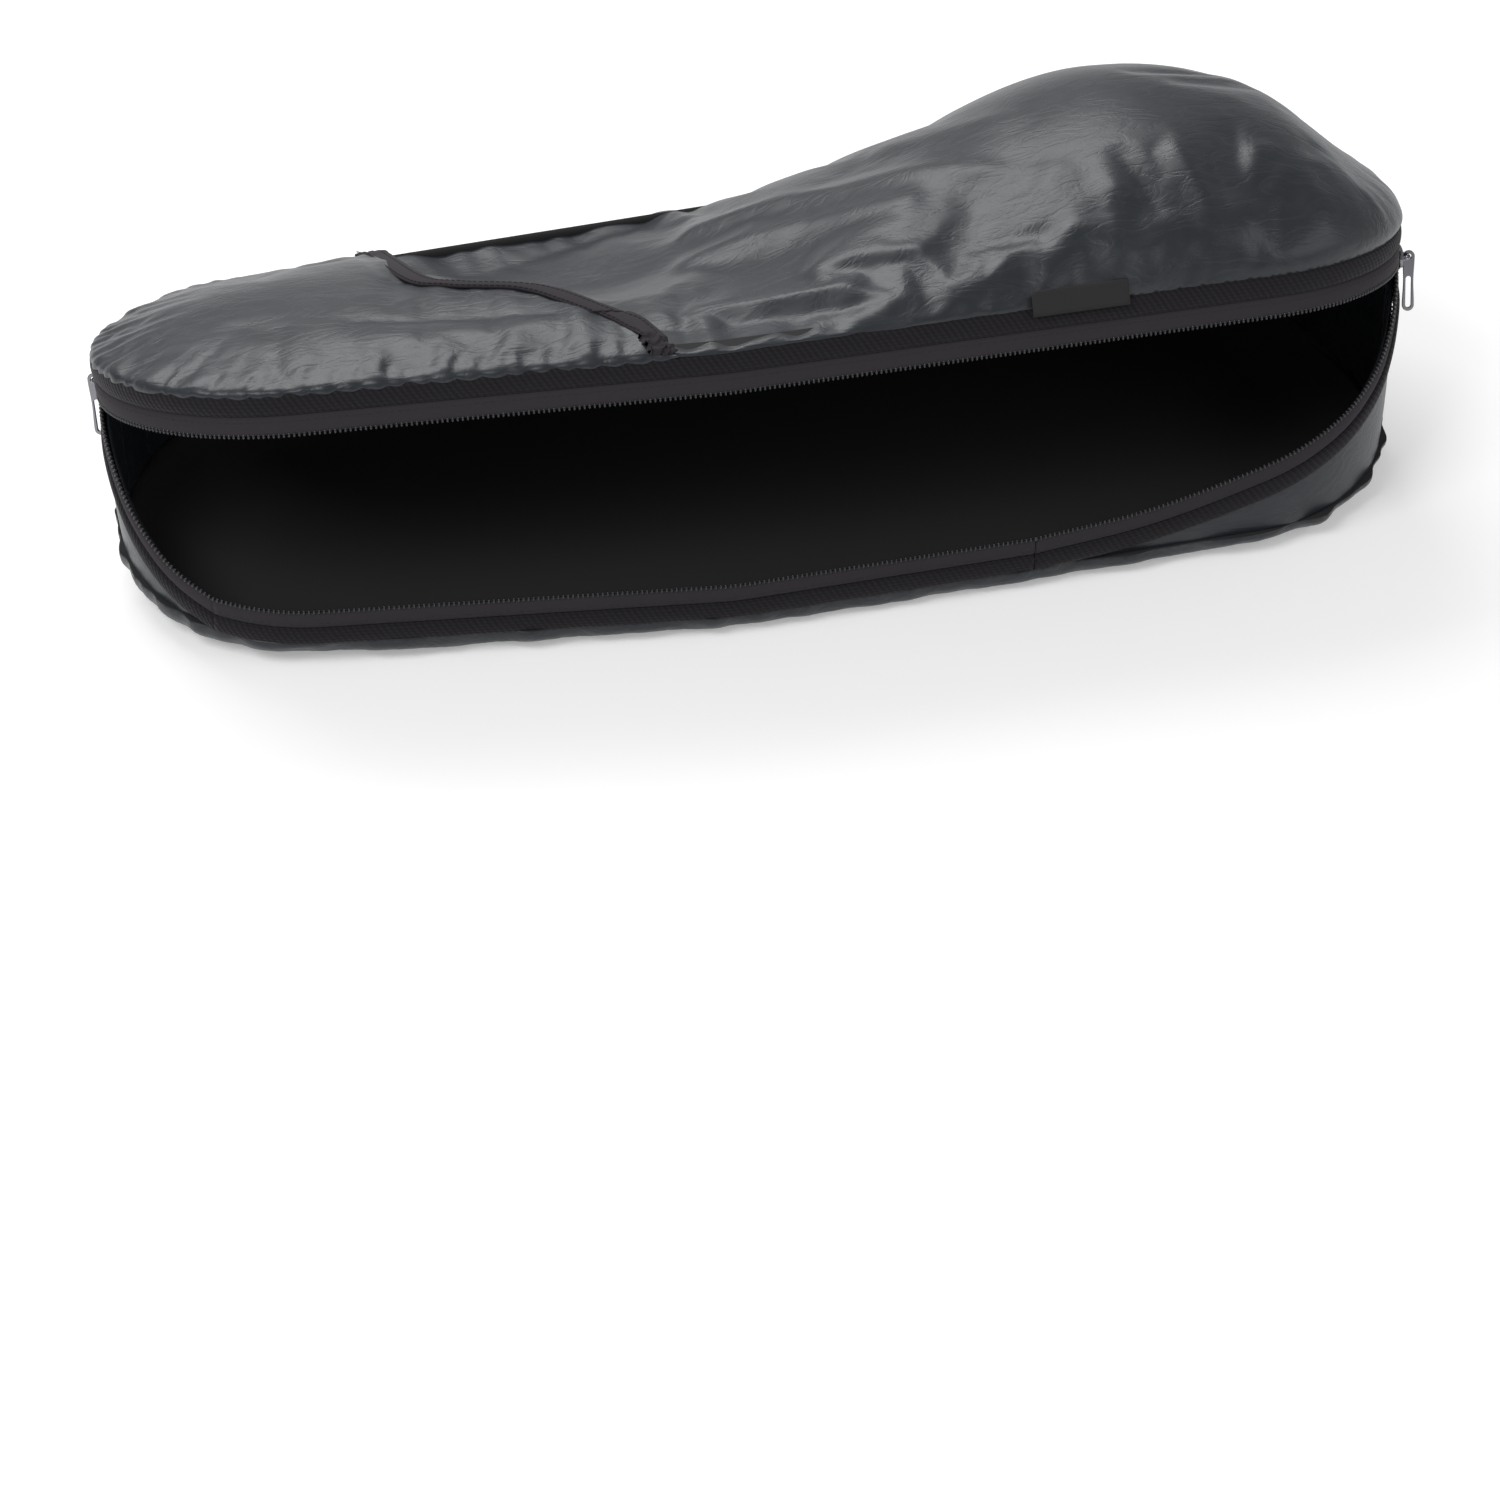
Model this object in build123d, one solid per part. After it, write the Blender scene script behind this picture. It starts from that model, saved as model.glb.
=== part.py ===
from build123d import *
import os
from math import acos, atan2, cos, degrees, hypot, radians, sin

# A soft, padded instrument bag with a zip along its near side and round both ends.
# Millimetres.  X runs from the narrow end (-X) to the wide end (+X), the spine is on
# +Y, the zipped mouth faces -Y, and the bag lies on its back panel at Z = 0.
# The bag is drawn closed, in the plane of its zip teeth ("zip frame": x, y in that
# plane, z up from the teeth), and its front half is then swung open to the rest pose.

# ---- plan outline: five corner circles joined by tangents, counter-clockwise --------
# (x, y, radius) of near left, near middle, near right, far right, far left
CORNERS = [(-192, -14, 84), (-30, -14, 104), (194, -30, 85), (170, 20, 94), (-200, 0, 70)]
NEAR_LEFT, NEAR_MIDDLE, NEAR_RIGHT, FAR_RIGHT, FAR_LEFT = range(5)

# ---- crown: (x, centre y, half width, height above teeth, depth below teeth) --------
STATIONS = [
    (-290, -8, 84, 24, 32),
    (-258, -8, 92, 28, 44),
    (-200, -8, 102, 34, 54),
    (-100, -10, 114, 39, 56),
    (0, -10, 124, 46, 56),
    (90, -6, 129, 59, 56),
    (170, 0, 132, 74, 56),
    (230, -4, 124, 62, 56),
    (262, -8, 114, 43, 48),
    (290, -12, 104, 26, 36),
]

# ---- zip plane and opening ---------------------------------------------------------
TEETH_Z = 40.0          # height of the zip teeth over the middle of the closed bag
TEETH_TILT = 5.7        # the teeth plane falls towards the mouth
OPEN_ANGLE = 20.5       # how far the front half is swung open at rest
SEAM = 18.0             # from the teeth to the seam of each padded panel
TAPE_TOP = 8.0          # smooth zip tape, from the teeth out
COIL_NEAR = 0.6         # half the gap between the two coils
COIL_FAR = 2.8
SEWN_GAP = 0.2          # between pieces that give and what they meet
JOIN_ANGLE = 0.4        # the same, in degrees along the outline

# ---- thicknesses -------------------------------------------------------------------
SKIN = 1.2              # outer cloth, lining and bands
FOAM = 6.0
COIL_THICK = 2.2
BINDING = 2.4
WEB_SLACK = 3.0         # folded height of the soft end wall when the bag is shut

# ---- where the zip halves part, as (corner, degrees) on the outline ------------------
FRONT_START = (NEAR_LEFT, 232)
FRONT_END = (NEAR_RIGHT, 292)
JUNCTION_RIGHT = (NEAR_RIGHT, 345)
JUNCTION_LEFT = (NEAR_LEFT, 160)
ZIP_END_RIGHT = (FAR_RIGHT, 84)
ZIP_END_LEFT = (FAR_LEFT, 104)
STOP_RIGHT = (FAR_RIGHT, 81)
STOP_LEFT = (FAR_LEFT, 108)
# the lower rim climbs to the upper one: (corner, degrees, share of the climb)
CLIMB_RIGHT = [
    (*FRONT_END, 0.0),
    (NEAR_RIGHT, 305, 0.10),
    (NEAR_RIGHT, 317, 0.34),
    (NEAR_RIGHT, 328, 0.70),
    (NEAR_RIGHT, 338, 1.0),
    (*JUNCTION_RIGHT, 1.0),
]
CLIMB_LEFT = [
    (*FRONT_START, 0.0),
    (NEAR_LEFT, 216, 0.12),
    (NEAR_LEFT, 200, 0.36),
    (NEAR_LEFT, 184, 0.72),
    (NEAR_LEFT, 168, 1.0),
    (*JUNCTION_LEFT, 1.0),
]

# ---- slip pocket on the narrow end ---------------------------------------------------
POCKET_INSET = 12.0
POCKET_GAP = 8.0
HEM_WIDTH = 9.0
HEM_LINE = [(-150, 110), (-147, 70), (-128, 38), (-88, 12), (-60, -30), (-40, -80), (-34, -130)]

# ---- side label ---------------------------------------------------------------------
LABEL_X = 134.0
LABEL_LENGTH = 40.0
LABEL_HEIGHT = 10.0

# ---- zip sliders and pulls ------------------------------------------------------------
SLIDER_LENGTH = 11.0
SLIDER_HEIGHT = 9.0
PLATE = 1.4
CLEAR = 0.5             # between the slider and the coil or tape
POST = 0.8
BAR = 1.5               # diameter of the bridge's bar
BAR_OUT = 3.1           # from the outer plate to the middle of the bar
BAR_SPAN = 7.0
PULL_LENGTH = 27.0
PULL_WIDTH = 5.2
PULL_THICK = 1.3
PULL_EYE = 2.3
PULL_SLOT = 13.0
STOP_LENGTH = 4.0

HUGE = 900.0

# ---- middle of the open bag, which is moved onto the Z axis ------------------------------
MIDDLE_X = 2.66
MIDDLE_Y = 5.48

ZIP_PLANE = Plane(
    origin=(0, 0, TEETH_Z),
    x_dir=(1, 0, 0),
    z_dir=(0, -sin(radians(TEETH_TILT)), cos(radians(TEETH_TILT))),
)


# ---- outline ------------------------------------------------------------------------
def run_normal(index):
    """Outward direction, in degrees, of the straight run that leaves a corner circle."""
    x0, y0, r0 = CORNERS[index]
    x1, y1, r1 = CORNERS[(index + 1) % len(CORNERS)]
    heading = degrees(atan2(y1 - y0, x1 - x0))
    return heading - degrees(acos((r0 - r1) / hypot(x1 - x0, y1 - y0)))


def rim_point(corner, angle, inset=0.0, z=0.0):
    """Point on the outline, drawn in by inset, at an angle of one corner circle."""
    x, y, radius = CORNERS[corner]
    reach = radius - inset
    return Vector(x + reach * cos(radians(angle)), y + reach * sin(radians(angle)), z)


def rim_arc(corner, start, end, inset):
    """Counter-clockwise arc on one corner circle."""
    end = start + (end - start) % 360
    return ThreePointArc(
        rim_point(corner, start, inset),
        rim_point(corner, (start + end) / 2, inset),
        rim_point(corner, end, inset),
    )


def rim_path(start, end, inset):
    """Edges of the outline from one (corner, degrees) counter-clockwise to another."""
    corner, angle = start
    edges = []
    while corner != end[0]:
        leave = run_normal(corner)
        following = (corner + 1) % len(CORNERS)
        edges.append(rim_arc(corner, angle, leave, inset))
        edges.append(Line(rim_point(corner, leave, inset), rim_point(following, leave, inset)))
        corner = following
        angle = leave
    edges.append(rim_arc(corner, angle, end[1], inset))
    return edges


def outline_face(inset):
    """Whole plan outline as a face in the zip plane."""
    last = run_normal(FAR_LEFT)
    edges = rim_path((NEAR_LEFT, last), (FAR_LEFT, last), inset)
    edges.append(Line(rim_point(FAR_LEFT, last, inset), rim_point(NEAR_LEFT, last, inset)))
    return make_face(edges)


def strip_face(start, end, outer, inner):
    """Thin strip that follows the outline between two insets."""
    outside = rim_path(start, end, outer)
    inside = rim_path(start, end, inner)
    caps = [
        Line(rim_point(*start, outer), rim_point(*start, inner)),
        Line(rim_point(*end, outer), rim_point(*end, inner)),
    ]
    return make_face(outside + inside + caps)


def ring_face(outer, inner):
    """Closed ring that follows the whole outline between two insets."""
    return outline_face(outer) - outline_face(inner)


def raise_face(face, low, high):
    """Solid between two heights over the teeth."""
    return extrude(Pos(0, 0, low) * face, amount=high - low)


# ---- padded halves --------------------------------------------------------------------
def crown(inset, above):
    """Elliptical tube that the padded half fills, above or below the teeth."""
    sections = []
    for x, y, half_width, height, depth in STATIONS:
        rise = height if above else depth
        plane = Plane(origin=(x, y, 0), x_dir=(0, 1, 0), z_dir=(1, 0, 0))
        sections.append(plane * Ellipse(half_width - inset, rise - inset))
    return loft(sections)


def half_mould(inset, above):
    """Padded half of the bag, drawn in by inset, from its seam to its crown."""
    low, high = (SEAM, 120) if above else (-120, -SEAM)
    return raise_face(outline_face(inset), low, high) & crown(inset, above)


def upper_layers():
    """Outer cloth, foam and lining of the front half."""
    moulds = [half_mould(inset, True) for inset in (0, SKIN, SKIN + FOAM, 2 * SKIN + FOAM)]
    return [outer - inner for outer, inner in zip(moulds, moulds[1:])]


def lower_layers():
    """Outer cloth, foam and lining of the back half, each flat where the bag lies."""
    insets = (0, SKIN, SKIN + FOAM, 2 * SKIN + FOAM)
    moulds = []
    for inset in insets:
        ground = Pos(0, 0, inset + HUGE / 2) * Box(HUGE, HUGE, HUGE)
        moulds.append(ZIP_PLANE.location * half_mould(inset, False) & ground)
    return [outer - inner for outer, inner in zip(moulds, moulds[1:])]


# ---- bands, tapes and coils -------------------------------------------------------------
def band(start, end, low, high, outer=0.0, thick=SKIN):
    """Strip of cloth along part of the outline, between two heights."""
    return raise_face(strip_face(start, end, outer, outer + thick), low, high)


def full_band(low, high, outer=0.0, thick=SKIN):
    """Strip of cloth round the whole outline, between two heights."""
    return raise_face(ring_face(outer, outer + thick), low, high)


COIL_INSET = (SKIN - COIL_THICK) / 2


def coil(start, end, low, high):
    """One half of the zip's coil along part of the outline."""
    return band(start, end, low, high, COIL_INSET, COIL_THICK)


# ---- soft parts that join the two halves ---------------------------------------------
HINGE_Y = 114.0
HINGE_Z = -SEAM + WEB_SLACK / 2
HINGE_POINT = ZIP_PLANE.from_local_coords(Vector(0, HINGE_Y, HINGE_Z))
HINGE = Axis(HINGE_POINT, (-1, 0, 0))


def place_back(shape):
    """Zip frame to the rest pose, for what stays with the back half."""
    return ZIP_PLANE.location * shape


def place_front(shape):
    """Zip frame to the rest pose, for what swings with the front half."""
    return (ZIP_PLANE.location * shape).rotate(HINGE, OPEN_ANGLE)


def climb_point(corner, angle, inset, z, share):
    """Point of the outline part of the way from the back half's place to the front's."""
    point = Vertex(*rim_point(corner, angle, inset, z))
    shut = place_back(point).center()
    lifted = place_front(point).center()
    return shut + (lifted - shut) * share


def climbing_strip(climb, low, high, outer=0.0, thick=SKIN, low_follows=1.0):
    """Strip that leaves the back half's rim and climbs to the front half's.

    low_follows is 0 where the strip's lower edge stays on the back half.
    """
    sections = []
    for corner, angle, share in climb:
        bottom = climb_point(corner, angle, outer, low, share * low_follows)
        top = climb_point(corner, angle, outer, high, share)
        inward = climb_point(corner, angle, outer + thick, 0, 0) - climb_point(corner, angle, outer, 0, 0)
        quad = [bottom, bottom + inward, top + inward, top]
        sections.append(Face(Wire.make_polygon(quad, close=True)))
    return loft(sections, ruled=True)


def end_web():
    """Soft wall from the back panel's seam up to the zip, behind the open mouth."""
    edge = strip_face(JUNCTION_RIGHT, JUNCTION_LEFT, 0, SKIN)
    low = place_back(Pos(0, 0, -SEAM) * edge)
    high = place_front(Pos(0, 0, -SEAM + WEB_SLACK) * edge)
    web = loft([low, high], ruled=True)
    for climb in (CLIMB_RIGHT, CLIMB_LEFT):
        web += climbing_strip(climb, -SEAM, -SEAM + WEB_SLACK, low_follows=0.0)
    return web


# ---- pocket ---------------------------------------------------------------------------
def hem_side(shift):
    """Everything on the narrow side of the pocket's hem line, moved along X."""
    points = [(x + shift, y) for x, y in HEM_LINE]
    left = -HUGE / 2
    edge = Spline(points)
    frame = Polyline(points[-1], (left, points[-1][1]), (left, points[0][1]), points[0])
    return raise_face(make_face([edge, frame]), SEAM, 120)


def pocket_panel():
    """Cloth of the slip pocket: a raised sheet with side walls and an open hem."""
    sheet = crown(-POCKET_GAP - SKIN, True) - crown(-POCKET_GAP, True)
    inside = raise_face(outline_face(POCKET_INSET), SEAM, 120)
    wall = raise_face(ring_face(POCKET_INSET, POCKET_INSET + SKIN), SEAM, 120)
    side = wall & (crown(-POCKET_GAP, True) - crown(0, True))
    return ((sheet & inside) + side) & hem_side(0)


def pocket_hem():
    """Doubled hem along the pocket's mouth."""
    layer = crown(-POCKET_GAP - 2 * SKIN, True) - crown(-POCKET_GAP - SKIN, True)
    inside = raise_face(outline_face(POCKET_INSET), SEAM, 120)
    return layer & inside & (hem_side(0) - hem_side(-HEM_WIDTH))


def side_label():
    """Blank woven tag on the seam."""
    strip = full_band(SEAM - LABEL_HEIGHT, SEAM, -SKIN, SKIN)
    return strip & (Pos(LABEL_X, -HUGE / 2, 0) * Box(LABEL_LENGTH, HUGE, HUGE))


# ---- sliders -----------------------------------------------------------------------------
MID_INSET = SKIN / 2
GAP = COIL_THICK / 2 + CLEAR


def slider_frame(corner, angle):
    """Frame at a place on the zip: x along the chain, y outward, z up the band."""
    return Plane(
        origin=rim_point(corner, angle, MID_INSET),
        x_dir=(-sin(radians(angle)), cos(radians(angle)), 0),
        z_dir=(0, 0, 1),
    )


def slider_body():
    """Two plates that straddle the chain, their rails and the post that parts it."""
    body = Part()
    rail_depth = GAP - SKIN / 2 - CLEAR
    for side in (-1, 1):
        body += Pos(0, -side * (GAP + PLATE / 2), 0) * Box(SLIDER_LENGTH, PLATE, SLIDER_HEIGHT)
        for end in (-1, 1):
            rail_y = -side * (GAP - rail_depth / 2)
            rail_z = end * (SLIDER_HEIGHT / 2 - POST / 2)
            body += Pos(0, rail_y, rail_z) * Box(SLIDER_LENGTH, rail_depth, POST)
    body += Pos(SLIDER_LENGTH / 2 - 1.5, 0, 0) * Box(3, 2 * GAP + PLATE, POST)
    return body


BAR_Y = -(GAP + PLATE + BAR_OUT)


def slider_bridge():
    """Bridge on the outer plate: a round bar on two feet."""
    bar = Pos(0, BAR_Y, 0) * Rot(0, 90, 0) * Cylinder(BAR / 2, BAR_SPAN + 2 * BAR)
    foot_length = BAR_OUT + BAR / 2
    bridge = bar
    for end in (-1, 1):
        foot_x = end * (BAR_SPAN + BAR) / 2
        foot_y = -(GAP + PLATE + foot_length / 2)
        bridge += Pos(foot_x, foot_y, 0) * Box(BAR, foot_length, BAR)
    return bridge


def pull_tab():
    """Flat pull with an eye round the bar and a long slot, hanging along -Z."""
    drop = PULL_LENGTH - PULL_WIDTH
    plate = extrude(
        Plane.YZ * Pos(0, -drop / 2) * SlotCenterToCenter(drop, PULL_WIDTH, rotation=90),
        amount=PULL_THICK / 2,
        both=True,
    )
    eye = Rot(0, 90, 0) * Cylinder(PULL_EYE / 2, 4 * PULL_THICK)
    slot = extrude(
        Plane.YZ * Pos(0, -drop + PULL_SLOT / 2)
        * SlotCenterToCenter(PULL_SLOT, PULL_EYE, rotation=90),
        amount=2 * PULL_THICK,
        both=True,
    )
    return plate - eye - slot


def zip_stop(corner, angle):
    """Small metal clamp that closes the end of the zip."""
    clamp = Box(STOP_LENGTH, 2 * GAP + PLATE, SLIDER_HEIGHT)
    hollow = Box(2 * STOP_LENGTH, 2 * GAP, 2 * SLIDER_HEIGHT)
    core = Box(STOP_LENGTH, 2 * GAP, POST)
    return slider_frame(corner, angle).location * (clamp - hollow + core)


# ---- all pieces -----------------------------------------------------------------------
def make_back():
    """Pieces that stay with the back half."""
    shell, foam, lining = lower_layers()
    front = (FRONT_START, FRONT_END)
    return {
        "back_shell": shell,
        "back_foam": foam,
        "back_lining": lining,
        "lower_band": place_back(band(*front, -SEAM, -TAPE_TOP)),
        "lower_tape": place_back(band(*front, -TAPE_TOP, -COIL_FAR)),
        "lower_coil": place_back(coil(*front, -COIL_FAR, -COIL_NEAR)),
        "lower_binding": place_back(band(*front, -SEAM, -TAPE_TOP, SKIN, BINDING)),
    }


def make_front():
    """Pieces that swing with the front half."""
    shell, foam, lining = upper_layers()
    whole_zip = (ZIP_END_LEFT, ZIP_END_RIGHT)
    closed_start = (NEAR_RIGHT, JUNCTION_RIGHT[1] + JOIN_ANGLE)
    closed_end = (NEAR_LEFT, JUNCTION_LEFT[1] - JOIN_ANGLE)
    right = (closed_start, ZIP_END_RIGHT)
    left = (ZIP_END_LEFT, closed_end)
    rear = (closed_start, closed_end)
    low = -SEAM + WEB_SLACK
    pieces = {
        "front_shell": shell,
        "front_foam": foam,
        "front_lining": lining,
        "upper_band": full_band(TAPE_TOP, SEAM),
        "upper_binding": full_band(TAPE_TOP, SEAM, SKIN, BINDING),
        "upper_tape": band(*whole_zip, COIL_FAR, TAPE_TOP),
        "upper_coil": coil(*whole_zip, COIL_NEAR, COIL_FAR),
        "closed_coil_right": coil(*right, -COIL_FAR, -COIL_NEAR),
        "closed_coil_left": coil(*left, -COIL_FAR, -COIL_NEAR),
        "rear_band": band(*rear, low, -COIL_FAR),
        "spine_strip": band(ZIP_END_RIGHT, ZIP_END_LEFT, -COIL_FAR, TAPE_TOP),
        "pocket_panel": pocket_panel(),
        "pocket_hem": pocket_hem(),
        "side_label": side_label(),
        "zip_stop_right": zip_stop(*STOP_RIGHT),
        "zip_stop_left": zip_stop(*STOP_LEFT),
    }
    return {name: place_front(shape) for name, shape in pieces.items()}


def make_soft_joins():
    """Soft pieces that give when the bag opens."""
    pieces = {"end_web": end_web()}
    for side, climb in (("right", CLIMB_RIGHT), ("left", CLIMB_LEFT)):
        pieces["climb_tape_" + side] = climbing_strip(climb, -SEAM + WEB_SLACK, -COIL_FAR)
        coil_heights = (-COIL_FAR + SEWN_GAP, -COIL_NEAR)
        pieces["climb_coil_" + side] = climbing_strip(climb, *coil_heights, COIL_INSET, COIL_THICK)
    return pieces


def make_slider(side, junction):
    """Slider, bridge and pull at one end of the mouth."""
    frame = slider_frame(*junction).location
    return {
        "slider_body_" + side: place_front(frame * slider_body()),
        "slider_bridge_" + side: place_front(frame * slider_bridge()),
        "pull_" + side: place_front(frame * Pos(0, BAR_Y, 0) * pull_tab()),
    }


def make_all():
    """Every piece of the bag by name."""
    pieces = {}
    pieces.update(make_back())
    pieces.update(make_soft_joins())
    pieces.update(make_front())
    pieces.update(make_slider("right", JUNCTION_RIGHT))
    pieces.update(make_slider("left", JUNCTION_LEFT))
    return {name: Pos(-MIDDLE_X, -MIDDLE_Y, 0) * shape for name, shape in pieces.items()}


os.makedirs("parts", exist_ok=True)
for name, shape in make_all().items():
    export_step(shape, f"parts/{name}.step")
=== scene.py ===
"""A soft padded instrument bag with an open zip, dressed over its solid frame.

Everything is in metres.  X runs from the narrow end to the wide end, the spine is on +Y
and the zipped mouth faces -Y.  Pieces are first laid out in the plane of the zip's teeth
("zip frame": x and y in that plane, z up from the teeth) and are then placed with the
back half, which lies on the floor, or with the front half, which is swung open.
"""
from math import acos, atan2, ceil, cos, degrees, hypot, pi, radians, sin

import bmesh
import bpy
import numpy as np
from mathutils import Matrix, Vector, geometry


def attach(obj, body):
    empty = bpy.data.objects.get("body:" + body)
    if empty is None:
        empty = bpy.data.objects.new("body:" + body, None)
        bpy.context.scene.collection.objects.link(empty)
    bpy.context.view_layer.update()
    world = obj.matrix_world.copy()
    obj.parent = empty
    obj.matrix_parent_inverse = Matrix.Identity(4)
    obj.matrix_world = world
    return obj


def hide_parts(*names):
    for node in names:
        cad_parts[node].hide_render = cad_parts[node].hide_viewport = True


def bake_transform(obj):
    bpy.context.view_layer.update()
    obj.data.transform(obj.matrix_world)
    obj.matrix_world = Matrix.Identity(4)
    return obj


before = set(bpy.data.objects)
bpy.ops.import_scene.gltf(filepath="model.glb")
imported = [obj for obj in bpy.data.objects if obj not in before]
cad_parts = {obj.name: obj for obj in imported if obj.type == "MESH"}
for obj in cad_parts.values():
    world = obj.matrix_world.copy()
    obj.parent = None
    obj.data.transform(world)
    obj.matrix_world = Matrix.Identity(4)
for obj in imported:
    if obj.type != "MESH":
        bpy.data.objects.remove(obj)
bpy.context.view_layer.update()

bl_info = {
    "name": "Zipped instrument bag",
    "version": (1, 0, 0),
    "blender": (4, 5, 0),
    "location": "View3D > Sidebar > Bag",
    "description": "Dresses the frame of a padded bag with cloth, zip, metal and trim",
    "category": "Object",
}

MM = 0.001

# ---- outline of the zip and crown of the padded halves --------------------------------
# (x, y, radius) of near left, near middle, near right, far right, far left
CORNERS = np.array([
    (-192, -14, 84), (-30, -14, 104), (194, -30, 85), (170, 20, 94), (-200, 0, 70),
]) * MM
NEAR_LEFT, NEAR_MIDDLE, NEAR_RIGHT, FAR_RIGHT, FAR_LEFT = range(5)

# (x, centre y, half width, height above the teeth, depth below them)
STATIONS = np.array([
    (-290, -8, 84, 21, 24),
    (-258, -8, 92, 21, 36),
    (-200, -8, 102, 23, 52),
    (-100, -10, 114, 25, 56),
    (0, -10, 124, 35, 56),
    (90, -6, 129, 56, 56),
    (170, 0, 132, 75, 54),
    (230, -4, 124, 64, 44),
    (262, -8, 114, 40, 30),
    (290, -12, 104, 24, 22),
]) * MM

# ---- rest pose ---------------------------------------------------------------------------
TEETH_Z = 40 * MM
TEETH_TILT = radians(5.7)
OPEN_ANGLE = radians(20.5)
HINGE_Y = 114 * MM
HINGE_Z = -16.5 * MM
MIDDLE = np.array([2.66, 5.48, 0]) * MM

# ---- where the zip halves part, as (corner, degrees) on the outline ---------------------
FRONT_START = (NEAR_LEFT, 232)
JUNCTION_RIGHT = (NEAR_RIGHT, 345)
JUNCTION_LEFT = (NEAR_LEFT, 160)
ZIP_END_RIGHT = (FAR_RIGHT, 84)
ZIP_END_LEFT = (FAR_LEFT, 104)
STOP_RIGHT = (FAR_RIGHT, 81)
STOP_LEFT = (FAR_LEFT, 108)
# the lower rim starts to climb here along X; then share of its way to the right slider
# and share of its climb from the lower rim to the upper one
CLIMB_START = 95 * MM
CLIMB_RIGHT = np.array([
    (0, 0), (.25, .07), (.49, .22), (.58, .29), (.73, .44),
    (.82, .58), (.89, .76), (.95, .95), (1, 1),
])
CLIMB_LEFT = np.array([(0, 1), (.11, 1), (.33, .72), (.55, .36), (.78, .12), (1, 0)])

# ---- pocket ---------------------------------------------------------------------------------
HEM_LINE = np.array([
    (-147, 110), (-146, 50), (-138, -12), (-122, -31),
    (-94, -49), (-77, -72), (-60, -98), (-49, -130),
]) * MM

# ---- strips of cloth along the rim ---------------------------------------------------------
RIM_STEP = 2 * MM
BAND_FACE = 0.6 * MM
BAND_BULGE = 0.7 * MM
BAND_GAP = 0.4 * MM
BAND_LAP = 1.0 * MM
TAPE_FACE = 0.1 * MM
TAPE_BULGE = 0.5 * MM
TAPE_TUCK = 0.2 * MM
COIL_LAP = 0.9 * MM
BINDING_FACE = -1.2 * MM
BINDING_HOLLOW = 1.0 * MM
REAR_BAND_LIFT = 3 * MM

# ---- padding -------------------------------------------------------------------------------
LEAST_PADDING = 3 * MM
APRON_SHARE = 0.35
ROW_RATIO = 0.866
FLOOR_GAP = 0.6 * MM


# ======================================================================================
# Sizes and colours that a user would change
# ======================================================================================
def length(name, description, default, low=0.0, high=1.0):
    """A length in metres."""
    return bpy.props.FloatProperty(
        name=name, description=description, default=default, min=low, max=high,
        subtype="DISTANCE", unit="LENGTH", precision=4,
    )


def colour(name, description, default):
    """A colour."""
    return bpy.props.FloatVectorProperty(
        name=name, description=description, default=default, size=3,
        min=0.0, max=1.0, subtype="COLOR",
    )


class BagPaddingSizes(bpy.types.PropertyGroup):
    """The padded halves."""

    seam: length("Seam height", "From the teeth to the seam of each padded panel", 18 * MM)
    thickness: length("Padding", "From the outer cloth to the lining", 7.5 * MM)
    roll: length("Roll", "How far in from the rim a panel turns over", 11 * MM)
    bulge: length("Bulge", "How far a panel stands out over its seam", 1.6 * MM)
    field: length("Mesh spacing", "Distance between the points of a panel", 3.4 * MM, 1 * MM)
    slack: bpy.props.FloatProperty(
        name="Slack", description="Spare cloth that gathers into folds", default=0.02,
        min=0.0, max=0.2, subtype="FACTOR",
    )
    puff: bpy.props.FloatProperty(
        name="Puff", description="Pressure of the padding under the cloth", default=2.0,
        min=0.0, max=20.0,
    )
    travel: length("Travel", "Most that the cloth moves while it settles", 7 * MM)


class BagZipSizes(bpy.types.PropertyGroup):
    """The zip and the strips of cloth beside it."""

    tape_top: length("Tape", "From the teeth to the crease under the woven band", 9.6 * MM)
    tooth_low: length("Coil gap", "From the teeth's meeting line to the coil", 0.5 * MM)
    tooth_high: length("Coil top", "From the meeting line to the far edge of the coil", 2.9 * MM)
    pitch: length("Pitch", "From one tooth to the next", 2.0 * MM, 0.5 * MM)
    coil_thick: length("Coil thickness", "Across the coil, through the tape", 2.0 * MM)
    band_thick: length("Band thickness", "Thickness of the woven band", 1.4 * MM)
    tape_thick: length("Tape thickness", "Thickness of the zip tape", 0.9 * MM)
    stitch: length("Stitch", "From one stitch to the next", 3.0 * MM, 0.5 * MM)
    thread: length("Thread", "Thickness of the sewing thread", 0.5 * MM)


class BagColours(bpy.types.PropertyGroup):
    """Colours of the bag."""

    nylon: colour("Nylon", "Shiny outer cloth", (0.011, 0.014, 0.019))
    nylon_worn: colour("Rubbed nylon", "Outer cloth where it is creased", (0.026, 0.030, 0.036))
    webbing: colour("Band", "Woven band beside the zip", (0.0055, 0.0045, 0.006))
    tape: colour("Tape", "Zip tape and binding", (0.0065, 0.005, 0.007))
    coil: colour("Coil", "Zip coil", (0.006, 0.006, 0.0065))
    plush: colour("Lining", "Plush lining", (0.0018, 0.0016, 0.0022))
    metal: colour("Metal", "Sliders and pulls", (0.26, 0.25, 0.26))
    label: colour("Label", "Blank woven label", (0.02, 0.02, 0.022))
    floor: colour("Floor", "Floor under the bag", (0.78, 0.78, 0.78))


# ======================================================================================
# Outline and placing
# ======================================================================================
def leave_angle(index):
    """Outward direction, in degrees, of the straight run that leaves a corner circle."""
    x0, y0, r0 = CORNERS[index]
    x1, y1, r1 = CORNERS[(index + 1) % len(CORNERS)]
    heading = degrees(atan2(y1 - y0, x1 - x0))
    return heading - degrees(acos((r0 - r1) / hypot(x1 - x0, y1 - y0)))


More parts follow.
